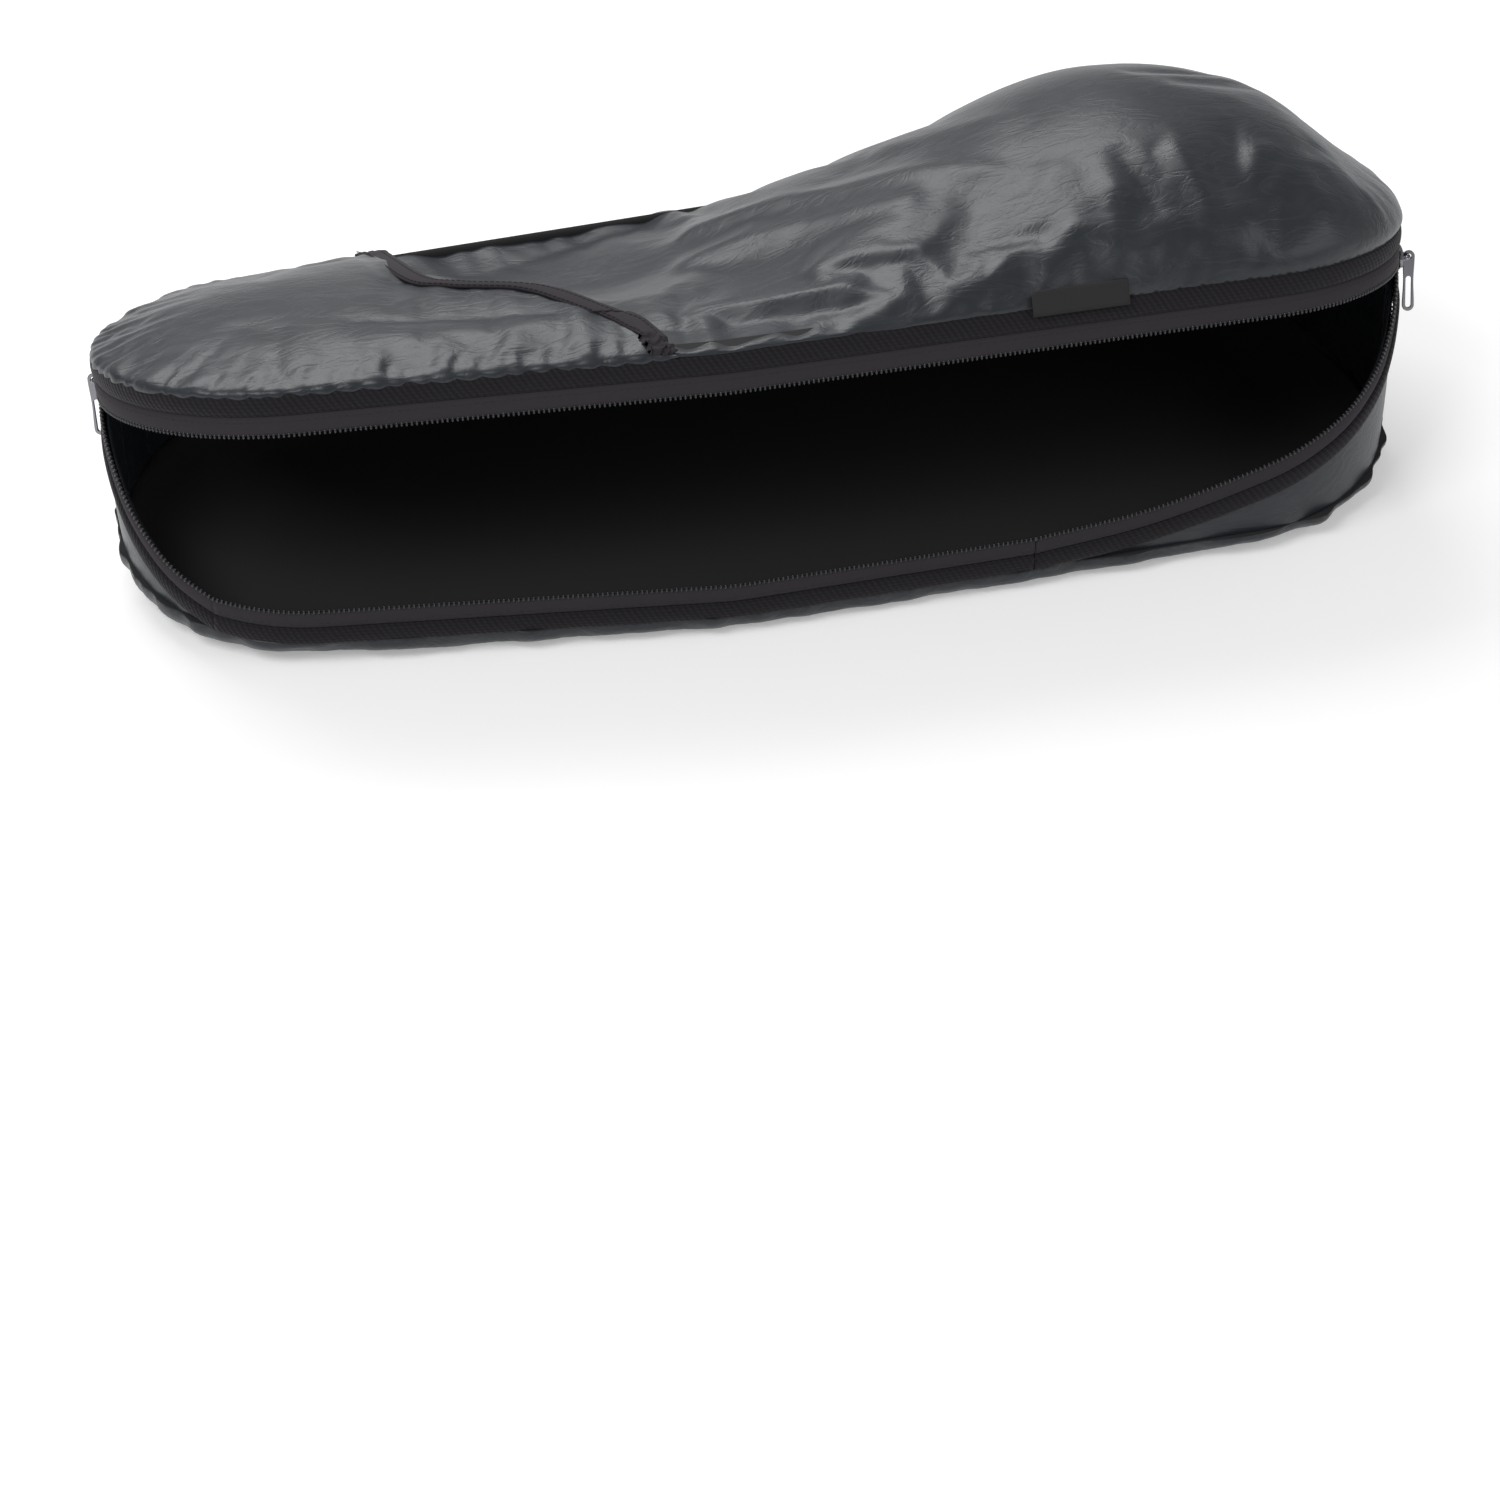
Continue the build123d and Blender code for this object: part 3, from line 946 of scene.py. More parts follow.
def cloth_settle(piece, pinned, sizes, slack, frames=18):
    """Lets the cloth swell and gather between its pinned edges, then caps how far it went."""
    before = mesh_points(piece)
    group = piece.vertex_groups.new(name="pinned")
    group.add([int(i) for i in pinned], 1.0, "REPLACE")
    modifier = piece.modifiers.new("settle", "CLOTH")
    settings = modifier.settings
    settings.quality = 5
    settings.mass = 0.1
    settings.tension_stiffness = 25
    settings.compression_stiffness = 25
    settings.shear_stiffness = 8
    settings.bending_stiffness = 0.6
    settings.tension_damping = 8
    settings.compression_damping = 8
    settings.vertex_group_mass = group.name
    settings.shrink_min = -slack
    settings.use_pressure = True
    settings.uniform_pressure_force = sizes.puff
    settings.effector_weights.gravity = 0
    modifier.collision_settings.use_collision = False
    scene = bpy.context.scene
    modifier.point_cache.frame_start = 1
    modifier.point_cache.frame_end = frames
    for number in range(1, frames + 1):
        scene.frame_set(number)
    depsgraph = bpy.context.evaluated_depsgraph_get()
    settled = piece.evaluated_get(depsgraph).to_mesh()
    flat = np.empty(len(settled.vertices) * 3, np.float32)
    settled.vertices.foreach_get("co", flat)
    after = flat.reshape(-1, 3).astype(float)
    piece.evaluated_get(depsgraph).to_mesh_clear()
    piece.modifiers.clear()
    piece.vertex_groups.clear()
    scene.frame_set(1)
    moved = after - before
    reach = np.linalg.norm(moved, axis=1)
    capped = sizes.travel * np.tanh(reach / sizes.travel)
    set_mesh_points(piece, before + moved * (capped / np.maximum(reach, 1e-9))[:, None])


def smooth_points(piece, rounds, keep=()):
    """Evens out a mesh; the kept points stay."""
    edges = np.empty(len(piece.data.edges) * 2, int)
    piece.data.edges.foreach_get("vertices", edges)
    edges = edges.reshape(-1, 2)
    points = mesh_points(piece)
    weight = np.bincount(edges.ravel(), minlength=len(points))[:, None]
    held = np.zeros(len(points), bool)
    held[list(keep)] = True
    for _ in range(rounds):
        total = np.zeros_like(points)
        np.add.at(total, edges[:, 0], points[edges[:, 1]])
        np.add.at(total, edges[:, 1], points[edges[:, 0]])
        middle = total / np.maximum(weight, 1)
        points = np.where(held[:, None], points, points * 0.5 + middle * 0.5)
    set_mesh_points(piece, points)


def border_loop(faces):
    """Indices of the border points of a triangle mesh, in order round it."""
    following = {}
    directed = {(int(a), int(b)) for f in faces for a, b in zip(f, np.roll(f, -1))}
    for a, b in directed:
        if (b, a) not in directed:
            following[a] = b
    start = min(following)
    loop = [start]
    while following[loop[-1]] != start:
        loop.append(following[loop[-1]])
    return loop


def subdivided(piece):
    """The piece with one round of subdivision applied."""
    modifier = piece.modifiers.new("subdivision", "SUBSURF")
    modifier.levels = 1
    modifier.render_levels = 1
    modifier.boundary_smooth = "PRESERVE_CORNERS"
    return apply_modifiers(piece)


def close_padding(piece, inner_points, faces, border, lining):
    """Joins the outer cloth to its lining with a strip along the border."""
    shape = bmesh.new()
    shape.from_mesh(piece.data)
    shape.verts.ensure_lookup_table()
    outer_edges = [e for e in shape.edges if e.is_boundary]
    inner = [shape.verts.new(p) for p in inner_points]
    made = []
    for face in faces:
        made.append(shape.faces.new([inner[i] for i in reversed(face)]))
    ring = [inner[i] for i in border]
    inner_edges = []
    for a, b in zip(ring, ring[1:] + ring[:1]):
        edge = shape.edges.get((a, b))
        inner_edges.append(edge)
    bridge = bmesh.ops.bridge_loops(shape, edges=outer_edges + inner_edges)
    for face in made + bridge["faces"]:
        face.material_index = 1
        face.smooth = True
    bmesh.ops.recalc_face_normals(shape, faces=shape.faces)
    piece.data.materials.append(lining)
    shape.to_mesh(piece.data)
    shape.free()
    return turn_outward(piece)


def make_front_panel(sizes):
    """Front half: shiny nylon that swells and gathers over the padding, and its lining."""
    plan, faces = panel_plan(sizes)
    surface = on_panel(plan, sizes, True)
    piece = new_object("front_panel", place_front(surface), faces, finish_of("nylon"))
    make_faces_rise(piece)
    normals = mesh_normals(piece)
    base = mesh_points(piece)
    relief = front_relief(plan)[:, None]
    lining = base + normals * (np.minimum(relief, 0) - sizes.thickness)
    set_mesh_points(piece, base + normals * relief)
    border = border_loop(triangles_of(piece))
    cloth_settle(piece, border, sizes, sizes.slack)
    under = ease(hem_distance(plan) / (14 * MM))[:, None]
    settled = mesh_points(piece) * (1 - under) + (base - normals * MM) * under
    set_mesh_points(piece, clear_of_lining(settled, lining, normals, border))
    smooth_points(piece, 1, border)
    triangles = triangles_of(piece)
    subdivided(piece)
    close_padding(piece, lining, triangles, border, finish_of("plush"))
    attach(piece, "front_half")
    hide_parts("front_shell", "front_foam", "front_lining")
    return piece


def clear_of_lining(points, lining, normals, border):
    """Lifts cloth that sank too near to the lining; the border stays."""
    gap = ((points - lining) * normals).sum(1)
    lift = np.maximum(LEAST_PADDING - gap, 0)
    lift[border] = 0
    return points + normals * lift[:, None]


def make_faces_rise(piece):
    """Turns the faces of an open upper sheet upward."""
    mesh = piece.data
    up = sum(p.normal.z * p.area for p in mesh.polygons)
    if up < 0:
        mesh.flip_normals()
    mesh.update()


def triangles_of(piece):
    """Triangles of a mesh, as point indices."""
    return np.array([tuple(p.vertices) for p in piece.data.polygons])


def on_back(plan, sizes):
    """Places plan points on the back half's outer face, in the rest pose, flat on the floor."""
    placed = place_back(on_panel(plan, sizes, False))
    soft = 5 * MM
    height = placed[:, 2] - FLOOR_GAP
    placed[:, 2] = FLOOR_GAP + np.where(
        height > soft, height, soft * np.exp(np.clip(height / soft - 1, -8, 0))
    ) - soft * np.exp(-8)
    return placed


def make_back_panel(sizes):
    """Back half: the padded shell that lies on the floor, and its lining."""
    plan, faces = panel_plan(sizes)
    piece = new_object("back_panel", on_back(plan, sizes), faces, finish_of("nylon"))
    make_faces_rise(piece)
    piece.data.flip_normals()
    normals = mesh_normals(piece)
    base = mesh_points(piece)
    lining = base - normals * sizes.thickness
    border = border_loop(triangles_of(piece))
    relief = gathers(plan, 1.0 * MM, 20 * MM, 40, 8)
    lift = ease(base[:, 2] / (10 * MM))
    set_mesh_points(piece, base + normals * (relief * lift)[:, None])
    cloth_settle(piece, border, sizes, sizes.slack * 0.6)
    settled = clear_of_lining(mesh_points(piece), lining, normals, border)
    settled[:, 2] = np.maximum(settled[:, 2], 0.3 * MM)
    set_mesh_points(piece, settled)
    smooth_points(piece, 1, border)
    triangles = triangles_of(piece)
    subdivided(piece)
    close_padding(piece, lining, triangles, border, finish_of("plush"))
    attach(piece, "back_half")
    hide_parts("back_shell", "back_foam", "back_lining")
    return piece


# ======================================================================================
# Pocket
# ======================================================================================
def hem_curve(shift, count=90, edge=-2 * MM):
    """Points of the pocket's edge in the plan, moved along X, kept an edge inside the outline."""
    ts = np.linspace(0, len(HEM_LINE) - 1, 600)
    index = np.arange(len(HEM_LINE))
    line = np.stack([
        smooth_table(ts, index, HEM_LINE[:, 0]), smooth_table(ts, index, HEM_LINE[:, 1]),
    ], 1)
    line[:, 0] += shift
    inset = from_rim(line)[2]
    line = line[inset > edge]
    steps = np.concatenate([[0], np.cumsum(np.linalg.norm(np.diff(line, axis=0), axis=1))])
    even = np.linspace(0, steps[-1], count)
    return np.stack([np.interp(even, steps, line[:, 0]), np.interp(even, steps, line[:, 1])], 1)


def hem_distance(plan):
    """How far a plan point is from the pocket's edge, towards the narrow end."""
    line = hem_curve(0, 240)
    nearest = ((plan[:, None] - line[None]) ** 2).sum(2)
    away = np.sqrt(nearest.min(1))
    beyond = plan[:, 0] > line[nearest.argmin(1), 0]
    return np.where(beyond, -away, away)


def pocket_lift(plan):
    """How far the pocket's cloth stands off the panel under it."""
    inset = from_rim(plan)[2]
    mouth = np.exp(-np.clip(hem_distance(plan), 0, None) / (60 * MM))
    lift = 1.6 * MM + ease(inset / (34 * MM)) * (2.5 * MM + 4.5 * MM * mouth)
    for x, y, rx, ry, angle, amount in POCKET_SWELLS:
        lift += amount * MM * soft_bump(plan, x, y, rx, ry, angle) * ease(inset / (30 * MM))
    return lift + gathers(plan, 1.0 * MM, 20 * MM, 70, 5) * ease(inset / (10 * MM))


def surface_normals(plan, sizes):
    """Outward directions of the front half's outer face, in the rest pose."""
    step = 0.5 * MM
    here = place_front(on_panel(plan, sizes, True))
    right = place_front(on_panel(plan + [step, 0], sizes, True)) - here
    back = place_front(on_panel(plan + [0, step], sizes, True)) - here
    cross = np.cross(right, back)
    size = np.linalg.norm(cross, axis=1, keepdims=True)
    return cross / np.maximum(size, 1e-12)


def pocket_points(plan, sizes, extra=0.0):
    """Places plan points on the pocket's outer face, in the rest pose."""
    surface = place_front(on_panel(plan, sizes, True))
    lift = pocket_lift(plan) + extra
    return surface + surface_normals(plan, sizes) * lift[:, None]


def pocket_plan(sizes):
    """Plan points and triangles of the pocket, from its hem to the narrow end's seam."""
    apron = sizes.roll * 0.3
    points, outs = whole_rim(sizes.field)
    outer = points + outs * apron
    hem = hem_curve(0)
    keep = hem_distance(outer) > sizes.field * 0.7
    first = np.flatnonzero(keep & ~np.roll(keep, 1))[0]
    outer = np.roll(outer, -first, 0)[:keep.sum()]
    if np.linalg.norm(outer[-1] - hem[0]) > np.linalg.norm(outer[-1] - hem[-1]):
        hem = hem[::-1]
    loop = np.concatenate([outer, hem])
    edges = [(i, (i + 1) % len(loop)) for i in range(len(loop))]
    rings = ring_plan(-apron + sizes.field * 0.8, sizes.roll, sizes.field * 0.8, sizes.field)
    field = np.concatenate(rings + [field_plan(sizes.roll + sizes.field * 0.6, sizes.field)])
    field = field[hem_distance(field) > sizes.field * 0.6]
    return triangulate(np.concatenate([loop, field]), edges)


def make_pocket(sizes):
    """Slip pocket over the narrow end: a thin sheet, gathered into the seam."""
    plan, faces = pocket_plan(sizes)
    piece = new_object("pocket_cloth", pocket_points(plan, sizes), faces, finish_of("nylon"))
    make_faces_rise(piece)
    border = border_loop(triangles_of(piece))
    flat_area = sum(p.area for p in piece.data.polygons)
    cloth_settle(piece, border, sizes, sizes.slack * 0.7)
    smooth_points(piece, 1, border)
    subdivided(piece)
    skin = piece.modifiers.new("cloth", "SOLIDIFY")
    skin.thickness = 0.6 * MM
    skin.offset = -1
    apply_modifiers(piece)
    settle(piece, "nylon", "front_half", "pocket_panel")
    size = plan.max(0) - plan.min(0)
    return piece, (float(size[0]), float(size[1])), min(flat_area, float(size[0] * size[1]))


def make_hem(sizes):
    """Doubled dark hem along the pocket's mouth."""
    width = 9 * MM
    across = 7
    shifts = [0.6 * MM - width * k / (across - 1) for k in range(across)]
    lines = [hem_curve(shift, 150, 1 * MM) for shift in shifts]
    lower = np.stack([pocket_points(line, sizes, 0.3 * MM) for line in lines], 1)
    upper = np.stack([
        pocket_points(line, sizes, 1.3 * MM + 0.5 * MM * sin(pi * k / (across - 1)))
        for k, line in enumerate(lines)
    ], 1)
    sections = np.concatenate([upper, lower[:, ::-1]], 1)
    piece = tube("pocket_hem_band", sections, finish_of("tape"))
    return settle(piece, "tape", "front_half", "pocket_hem")


# ======================================================================================
# Bands, tapes and bindings
# ======================================================================================
def lower_band(low, zips):
    """Cross-section of a woven band under the teeth, from a height up to the crease."""
    return strip_profile(low, -zips.tape_top - BAND_GAP, BAND_FACE, -zips.band_thick, BAND_BULGE)


def lower_tape(zips):
    """Cross-section of the zip tape under the teeth."""
    return strip_profile(-zips.tape_top - TAPE_TUCK, -zips.tooth_high + COIL_LAP,
                         TAPE_FACE, -zips.tape_thick, TAPE_BULGE)


def binding_profile(low, high, inner):
    """Cross-section of the folded binding behind a band."""
    profile = strip_profile(low, high, BINDING_FACE, inner, 0.0)
    profile[:, 0] -= BINDING_HOLLOW * np.sin(pi * np.linspace(0, 1, len(profile)))
    return profile


def make_upper_trim(sizes, zips):
    """Woven band, zip tape and binding round the front half."""
    ring = whole_rim(RIM_STEP)
    band = strip_profile(zips.tape_top + BAND_GAP, sizes.seam + BAND_LAP,
                         BAND_FACE, -zips.band_thick, BAND_BULGE)
    piece = tube("woven_band_upper", placed_sections(rim_sections(ring, band), place_front),
                 finish_of("webbing"), True)
    settle(piece, "webbing", "front_half", "upper_band")
    tape = strip_profile(zips.tooth_high - COIL_LAP, zips.tape_top + TAPE_TUCK,
                         TAPE_FACE, -zips.tape_thick, TAPE_BULGE)
    whole_zip = rim_run(ZIP_END_LEFT, ZIP_END_RIGHT)
    piece = tube("zip_tape_upper", placed_sections(rim_sections(whole_zip, tape), place_front),
                 finish_of("tape"))
    settle(piece, "tape", "front_half", "upper_tape")
    binding = binding_profile(zips.tape_top - 1 * MM, sizes.seam + 0.3 * MM, -4.2 * MM)
    piece = tube("binding_upper", placed_sections(rim_sections(ring, binding), place_front),
                 finish_of("plush"), True)
    settle(piece, "plush", "front_half", "upper_binding")


def make_rear_trim(sizes, zips):
    """Bands behind the sliders, where the zip stays shut, and the spine strip."""
    rear = rim_run(JUNCTION_RIGHT, JUNCTION_LEFT)
    sections = placed_sections(rim_sections(rear, lower_tape(zips)), place_front)
    piece = tube("zip_tape_rear", sections, finish_of("tape"))
    settle(piece, "tape", "front_half")
    band = lower_band(-sizes.seam + REAR_BAND_LIFT, zips)
    sections = placed_sections(rim_sections(rear, band), place_front)
    piece = tube("woven_band_rear", sections, finish_of("webbing"))
    settle(piece, "webbing", "front_half", "rear_band")
    spine = rim_run(ZIP_END_RIGHT, ZIP_END_LEFT)
    cover = strip_profile(-zips.tooth_high, zips.tape_top, 0.9 * MM, -zips.tape_thick, 0.6 * MM)
    sections = placed_sections(rim_sections(spine, cover), place_front)
    piece = tube("spine_cover", sections, finish_of("webbing"))
    settle(piece, "webbing", "front_half", "spine_strip")


def make_lower_trim(sizes, zips):
    """Woven band, zip tape and binding along the back half's open rim."""
    front = front_run()
    band = lower_band(-sizes.seam - BAND_LAP, zips)
    piece = tube("woven_band_lower", placed_sections(rim_sections(front, band), place_back),
                 finish_of("webbing"))
    settle(piece, "webbing", "back_half", "lower_band")
    tape = lower_tape(zips)
    piece = tube("zip_tape_lower", placed_sections(rim_sections(front, tape), place_back),
                 finish_of("tape"))
    settle(piece, "tape", "back_half", "lower_tape")
    binding = binding_profile(-sizes.seam - 4 * MM, -zips.tape_top + 1 * MM, -4.4 * MM)
    piece = tube("binding_lower", placed_sections(rim_sections(front, binding), place_back),
                 finish_of("plush"))
    settle(piece, "plush", "back_half", "lower_binding")


# ======================================================================================
# Soft ends, where the lower rim climbs to the upper one
# ======================================================================================
def front_run():
    """The open lower rim between its two climbing ends."""
    points, outs = rim_run(FRONT_START, JUNCTION_RIGHT, RIM_STEP)
    low = points[:, 0] <= CLIMB_START
    return points[low], outs[low]


def climb_run(side):
    """The outline beside one slider, with each point's share of the climb."""
    if side == "right":
        points, outs = rim_run(FRONT_START, JUNCTION_RIGHT, 1.5 * MM)
        climbs = points[:, 0] >= CLIMB_START - 2 * MM
        run, table = (points[climbs], outs[climbs]), CLIMB_RIGHT
    else:
        run, table = rim_run(JUNCTION_LEFT, FRONT_START, 1.5 * MM), CLIMB_LEFT
    steps = np.linalg.norm(np.diff(run[0], axis=0, prepend=run[0][:1]), axis=1)
    way = np.cumsum(steps) / steps.sum()
    return run, np.clip(smooth_table(way, table[:, 0], table[:, 1]), 0, 1)


def climbing(sections, share):
    """Cross-sections part of the way from the back half's place to the front's."""
    shut = placed_sections(sections, place_back)
    lifted = placed_sections(sections, place_front)
    return shut + (lifted - shut) * share[:, None, None]


# how far past both ends of a climb the heights from climb_ends reach
BLEND_REACH = 7 * MM


def climb_ends(side, climb_height):
    """Heights between which a climbing strip goes over from the back half to the front."""
    run, share = climb_run(side)
    line = rim_sections(run, [(0, -climb_height)])
    path = climbing(line, share)[:, 0]
    if side == "left":
        path = path[::-1]
    low = path[0] - [0, 0, BLEND_REACH]
    return low, np.array([*low[:2], path[-1, 2] + BLEND_REACH])


def make_climb(side, sizes, zips):
    """Tape and woven band that climb from the lower rim to the slider."""
    run, share = climb_run(side)
    start, end = climb_ends(side, zips.tape_top)
    tape = lower_tape(zips)
    piece = tube("zip_tape_climb_" + side, climbing(rim_sections(run, tape), share),
                 finish_of("tape"))
    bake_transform(piece)
    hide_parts("climb_tape_" + side)
    start, end = climb_ends(side, sizes.seam)
    band = lower_band(-sizes.seam - BAND_LAP, zips)
    piece = tube("woven_band_climb_" + side, climbing(rim_sections(run, band), share),
                 finish_of("webbing"))
    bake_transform(piece)


def wall_sections(run, share, depth, over, rows=14):
    """Soft wall from the back panel's seam up behind the climbing band."""
    inset = -1.9 * MM
    foot = placed_sections(rim_sections(run, [(inset, -depth)]), place_back)[:, 0]
    top = climbing(rim_sections(run, [(inset, -depth + over)]), share)[:, 0]
    shares = np.linspace(0, 1, rows)[None, :, None]
    sheet = foot[:, None] + (top - foot)[:, None] * shares
    outs = np.concatenate([run[1], np.zeros((len(run[1]), 1))], 1)[:, None]
    outer = sheet + outs * (1.2 * MM * np.sin(pi * shares))
    inner = sheet - outs * 1.4 * MM
    return np.concatenate([outer, inner[:, ::-1]], 1)


def make_walls(sizes):
    """Soft end walls between the back panel's seam and the lifted half."""
    sectors = [
        ("right", (NEAR_RIGHT, 345), (FAR_RIGHT, 40), 36 * MM),
        ("rear_right", (FAR_RIGHT, 36), (FAR_RIGHT, 92), 16 * MM),
        ("spine", (FAR_RIGHT, 90), (FAR_LEFT, 100), 9 * MM),
        ("rear_left", (FAR_LEFT, 98), (FAR_LEFT, 149), 12 * MM),
        ("left", (FAR_LEFT, 148), (NEAR_LEFT, 160), 20 * MM),
    ]
    for name, start, end, rise in sectors:
        run = rim_run(start, end)
        sections = wall_sections(run, np.ones(len(run[0])), sizes.seam + 2 * MM, 20 * MM)
        piece = tube("end_wall_" + name, sections, finish_of("nylon"))
        blend_upright(piece)
    for side in ("right", "left"):
        run, share = climb_run(side)
        sections = wall_sections(run, share, sizes.seam + 2 * MM, 14 * MM)
        piece = tube("climb_wall_" + side, sections, finish_of("nylon"))
        blend_upright(piece)
    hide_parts("end_web")


def blend_upright(piece):
    """Bakes the wall's placement into its mesh."""
    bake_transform(piece)


# ======================================================================================
# Teeth and stitches, which repeat along a path
# ======================================================================================
def bead_tree(name):
    """Geometry nodes that set beads along a path: named sizes, realised, with a material."""
    tree = bpy.data.node_groups.new(name, "GeometryNodeTree")
    face = tree.interface
    face.new_socket("Path", in_out="INPUT", socket_type="NodeSocketGeometry")
    for label in ("Pitch", "Length", "Width", "Height"):
        socket = face.new_socket(label, in_out="INPUT", socket_type="NodeSocketFloat")
        socket.default_value = 1 * MM
    face.new_socket("Material", in_out="INPUT", socket_type="NodeSocketMaterial")
    face.new_socket("Beads", in_out="OUTPUT", socket_type="NodeSocketGeometry")

    def add(kind, settings=None, values=None):
        node = tree.nodes.new(kind)
        for key, value in (settings or {}).items():
            setattr(node, key, value)
        for key, value in (values or {}).items():
            if isinstance(value, bpy.types.NodeSocket):
                tree.links.new(value, node.inputs[key])
            else:
                node.inputs[key].default_value = value
        return node

    given = add("NodeGroupInput")
    curve = add("GeometryNodeMeshToCurve", {}, {"Mesh": given.outputs["Path"]})
    even = add(
        "GeometryNodeResampleCurve", {"mode": "LENGTH"},
        {"Curve": curve.outputs[0], "Length": given.outputs["Pitch"]},
    )
    outward = add(
        "GeometryNodeInputNamedAttribute", {"data_type": "FLOAT_VECTOR"}, {"Name": "outward"}
    )
    tangent = add("GeometryNodeInputTangent")
    turn = add(
        "FunctionNodeAxesToRotation", {"primary_axis": "X", "secondary_axis": "Y"},
        {"Primary Axis": tangent.outputs[0], "Secondary Axis": outward.outputs[0]},
    )
    bead = add("GeometryNodeMeshUVSphere", {}, {"Segments": 8, "Rings": 5, "Radius": 0.5})
    size = add(
        "ShaderNodeCombineXYZ", {},
        {0: given.outputs["Length"], 1: given.outputs["Width"], 2: given.outputs["Height"]},
    )
    beads = add(
        "GeometryNodeInstanceOnPoints", {},
        {"Points": even.outputs[0], "Instance": bead.outputs[0], "Rotation": turn.outputs[0],
         "Scale": size.outputs[0]},
    )
    real = add("GeometryNodeRealizeInstances", {}, {0: beads.outputs[0]})
    smooth = add("GeometryNodeSetShadeSmooth", {}, {0: real.outputs[0]})
    finished = add(
        "GeometryNodeSetMaterial", {},
        {"Geometry": smooth.outputs[0], "Material": given.outputs["Material"]},
    )
    add("NodeGroupOutput", {}, {0: finished.outputs[0]})
    return tree


def path_mesh(name, points, outs, closed):
    """Bare path with an outward direction at each point."""
    mesh = bpy.data.meshes.new(name)
    edges = [(i, i + 1) for i in range(len(points) - 1)]
    if closed:
        edges.append((len(points) - 1, 0))
    mesh.from_pydata([tuple(p) for p in points], edges, [])
    attribute = mesh.attributes.new("outward", "FLOAT_VECTOR", "POINT")
    attribute.data.foreach_set("vector", np.asarray(outs, np.float32).ravel())
    piece = bpy.data.objects.new(name, mesh)
    bpy.context.scene.collection.objects.link(piece)
    return piece


def beads(name, points, outs, kind, pitch, size, closed=False):
    """Beads of one size along a path, as a plain mesh."""
    tree = bpy.data.node_groups.get("beads_along_path") or bead_tree("beads_along_path")
    piece = path_mesh(name, points, outs, closed)
    modifier = piece.modifiers.new("beads", "NODES")
    modifier.node_group = tree
    inputs = [item for item in tree.interface.items_tree if item.in_out == "INPUT"]
    names = {item.name: item.identifier for item in inputs}
    modifier[names["Pitch"]] = pitch
    modifier[names["Length"]] = size[0]
    modifier[names["Width"]] = size[1]
    modifier[names["Height"]] = size[2]
    modifier[names["Material"]] = finish_of(kind)
    return apply_modifiers(piece)


def rim_line(run, out, up, place):
    """Path beside the outline with its outward directions, in the rest pose."""
    points = placed_sections(rim_sections(run, [(out, up)]), place)[:, 0]
    ahead = placed_sections(rim_sections(run, [(out + 1 * MM, up)]), place)[:, 0]
    return points, (ahead - points) / MM


def climb_line(side, out, up):
    """Path of a climbing strip with its outward directions."""
    run, share = climb_run(side)
    points = climbing(rim_sections(run, [(out, up)]), share)[:, 0]
    ahead = climbing(rim_sections(run, [(out + 1 * MM, up)]), share)[:, 0]
    return points, (ahead - points) / MM


def make_coils(zips):
    """All the zip's coils: the open rims, the climbs and the closed ends."""
    middle = (zips.tooth_low + zips.tooth_high) / 2
    size = (zips.pitch * 0.62, zips.coil_thick, zips.tooth_high - zips.tooth_low)
    centre = -0.4 * MM
    whole = rim_run(ZIP_END_LEFT, ZIP_END_RIGHT)
    line = rim_line(whole, centre, middle, place_front)
    piece = beads("coil_upper", *line, "coil", zips.pitch, size)
    settle(piece, "coil", "front_half", "upper_coil")
    front = front_run()
    line = rim_line(front, centre, -middle, place_back)
    piece = beads("coil_lower", *line, "coil", zips.pitch, size)
    settle(piece, "coil", "back_half", "lower_coil")
    ends = {
        "right": (JUNCTION_RIGHT, ZIP_END_RIGHT),
        "left": (ZIP_END_LEFT, JUNCTION_LEFT),
    }
    for side, (start, end) in ends.items():
        closed = rim_run(start, end)
        line = rim_line(closed, centre, -middle, place_front)
        piece = beads("coil_closed_" + side, *line, "coil", zips.pitch, size)
        settle(piece, "coil", "front_half", "closed_coil_" + side)
        line = climb_line(side, centre, -middle)
        piece = beads("coil_climb_" + side, *line, "coil", zips.pitch, size)
        start_point, end_point = climb_ends(side, zips.tape_top)
        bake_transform(piece)
        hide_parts("climb_coil_" + side)


def make_stitches(sizes, zips):
    """Rows of stitches on the bands and tapes and along the hem."""
    size = (zips.stitch * 0.74, zips.thread, zips.thread)
    ring = whole_rim(RIM_STEP)
    rows = [("upper_low", ring, 0.75 * MM, zips.tape_top + 2.0 * MM, place_front, "front_half"),
            ("upper_tape", ring, 0.45 * MM, zips.tape_top - 2.2 * MM, place_front, "front_half")]
    front = front_run()
    rows.append(("lower_low", front, 0.75 * MM, -zips.tape_top - 2.0 * MM, place_back, "back_half"))
    rows.append(("lower_tape", front, 0.45 * MM, -zips.tape_top + 2.2 * MM, place_back, "back_half"))
    for name, run, out, up, place, body in rows:
        line = rim_line(run, out, up, place)
        piece = beads("stitches_" + name, *line, "tape", zips.stitch, size, run is ring)
        settle(piece, "tape", body)
    for name, shift in (("edge", -1.6 * MM), ("inner", -7.6 * MM)):
        line = hem_curve(shift, 300, 2 * MM)
        points = pocket_points(line, sizes, 1.75 * MM)
        piece = beads("stitches_hem_" + name, points, surface_normals(line, sizes), "tape",
                      zips.stitch * 0.85, size)
        settle(piece, "tape", "front_half")


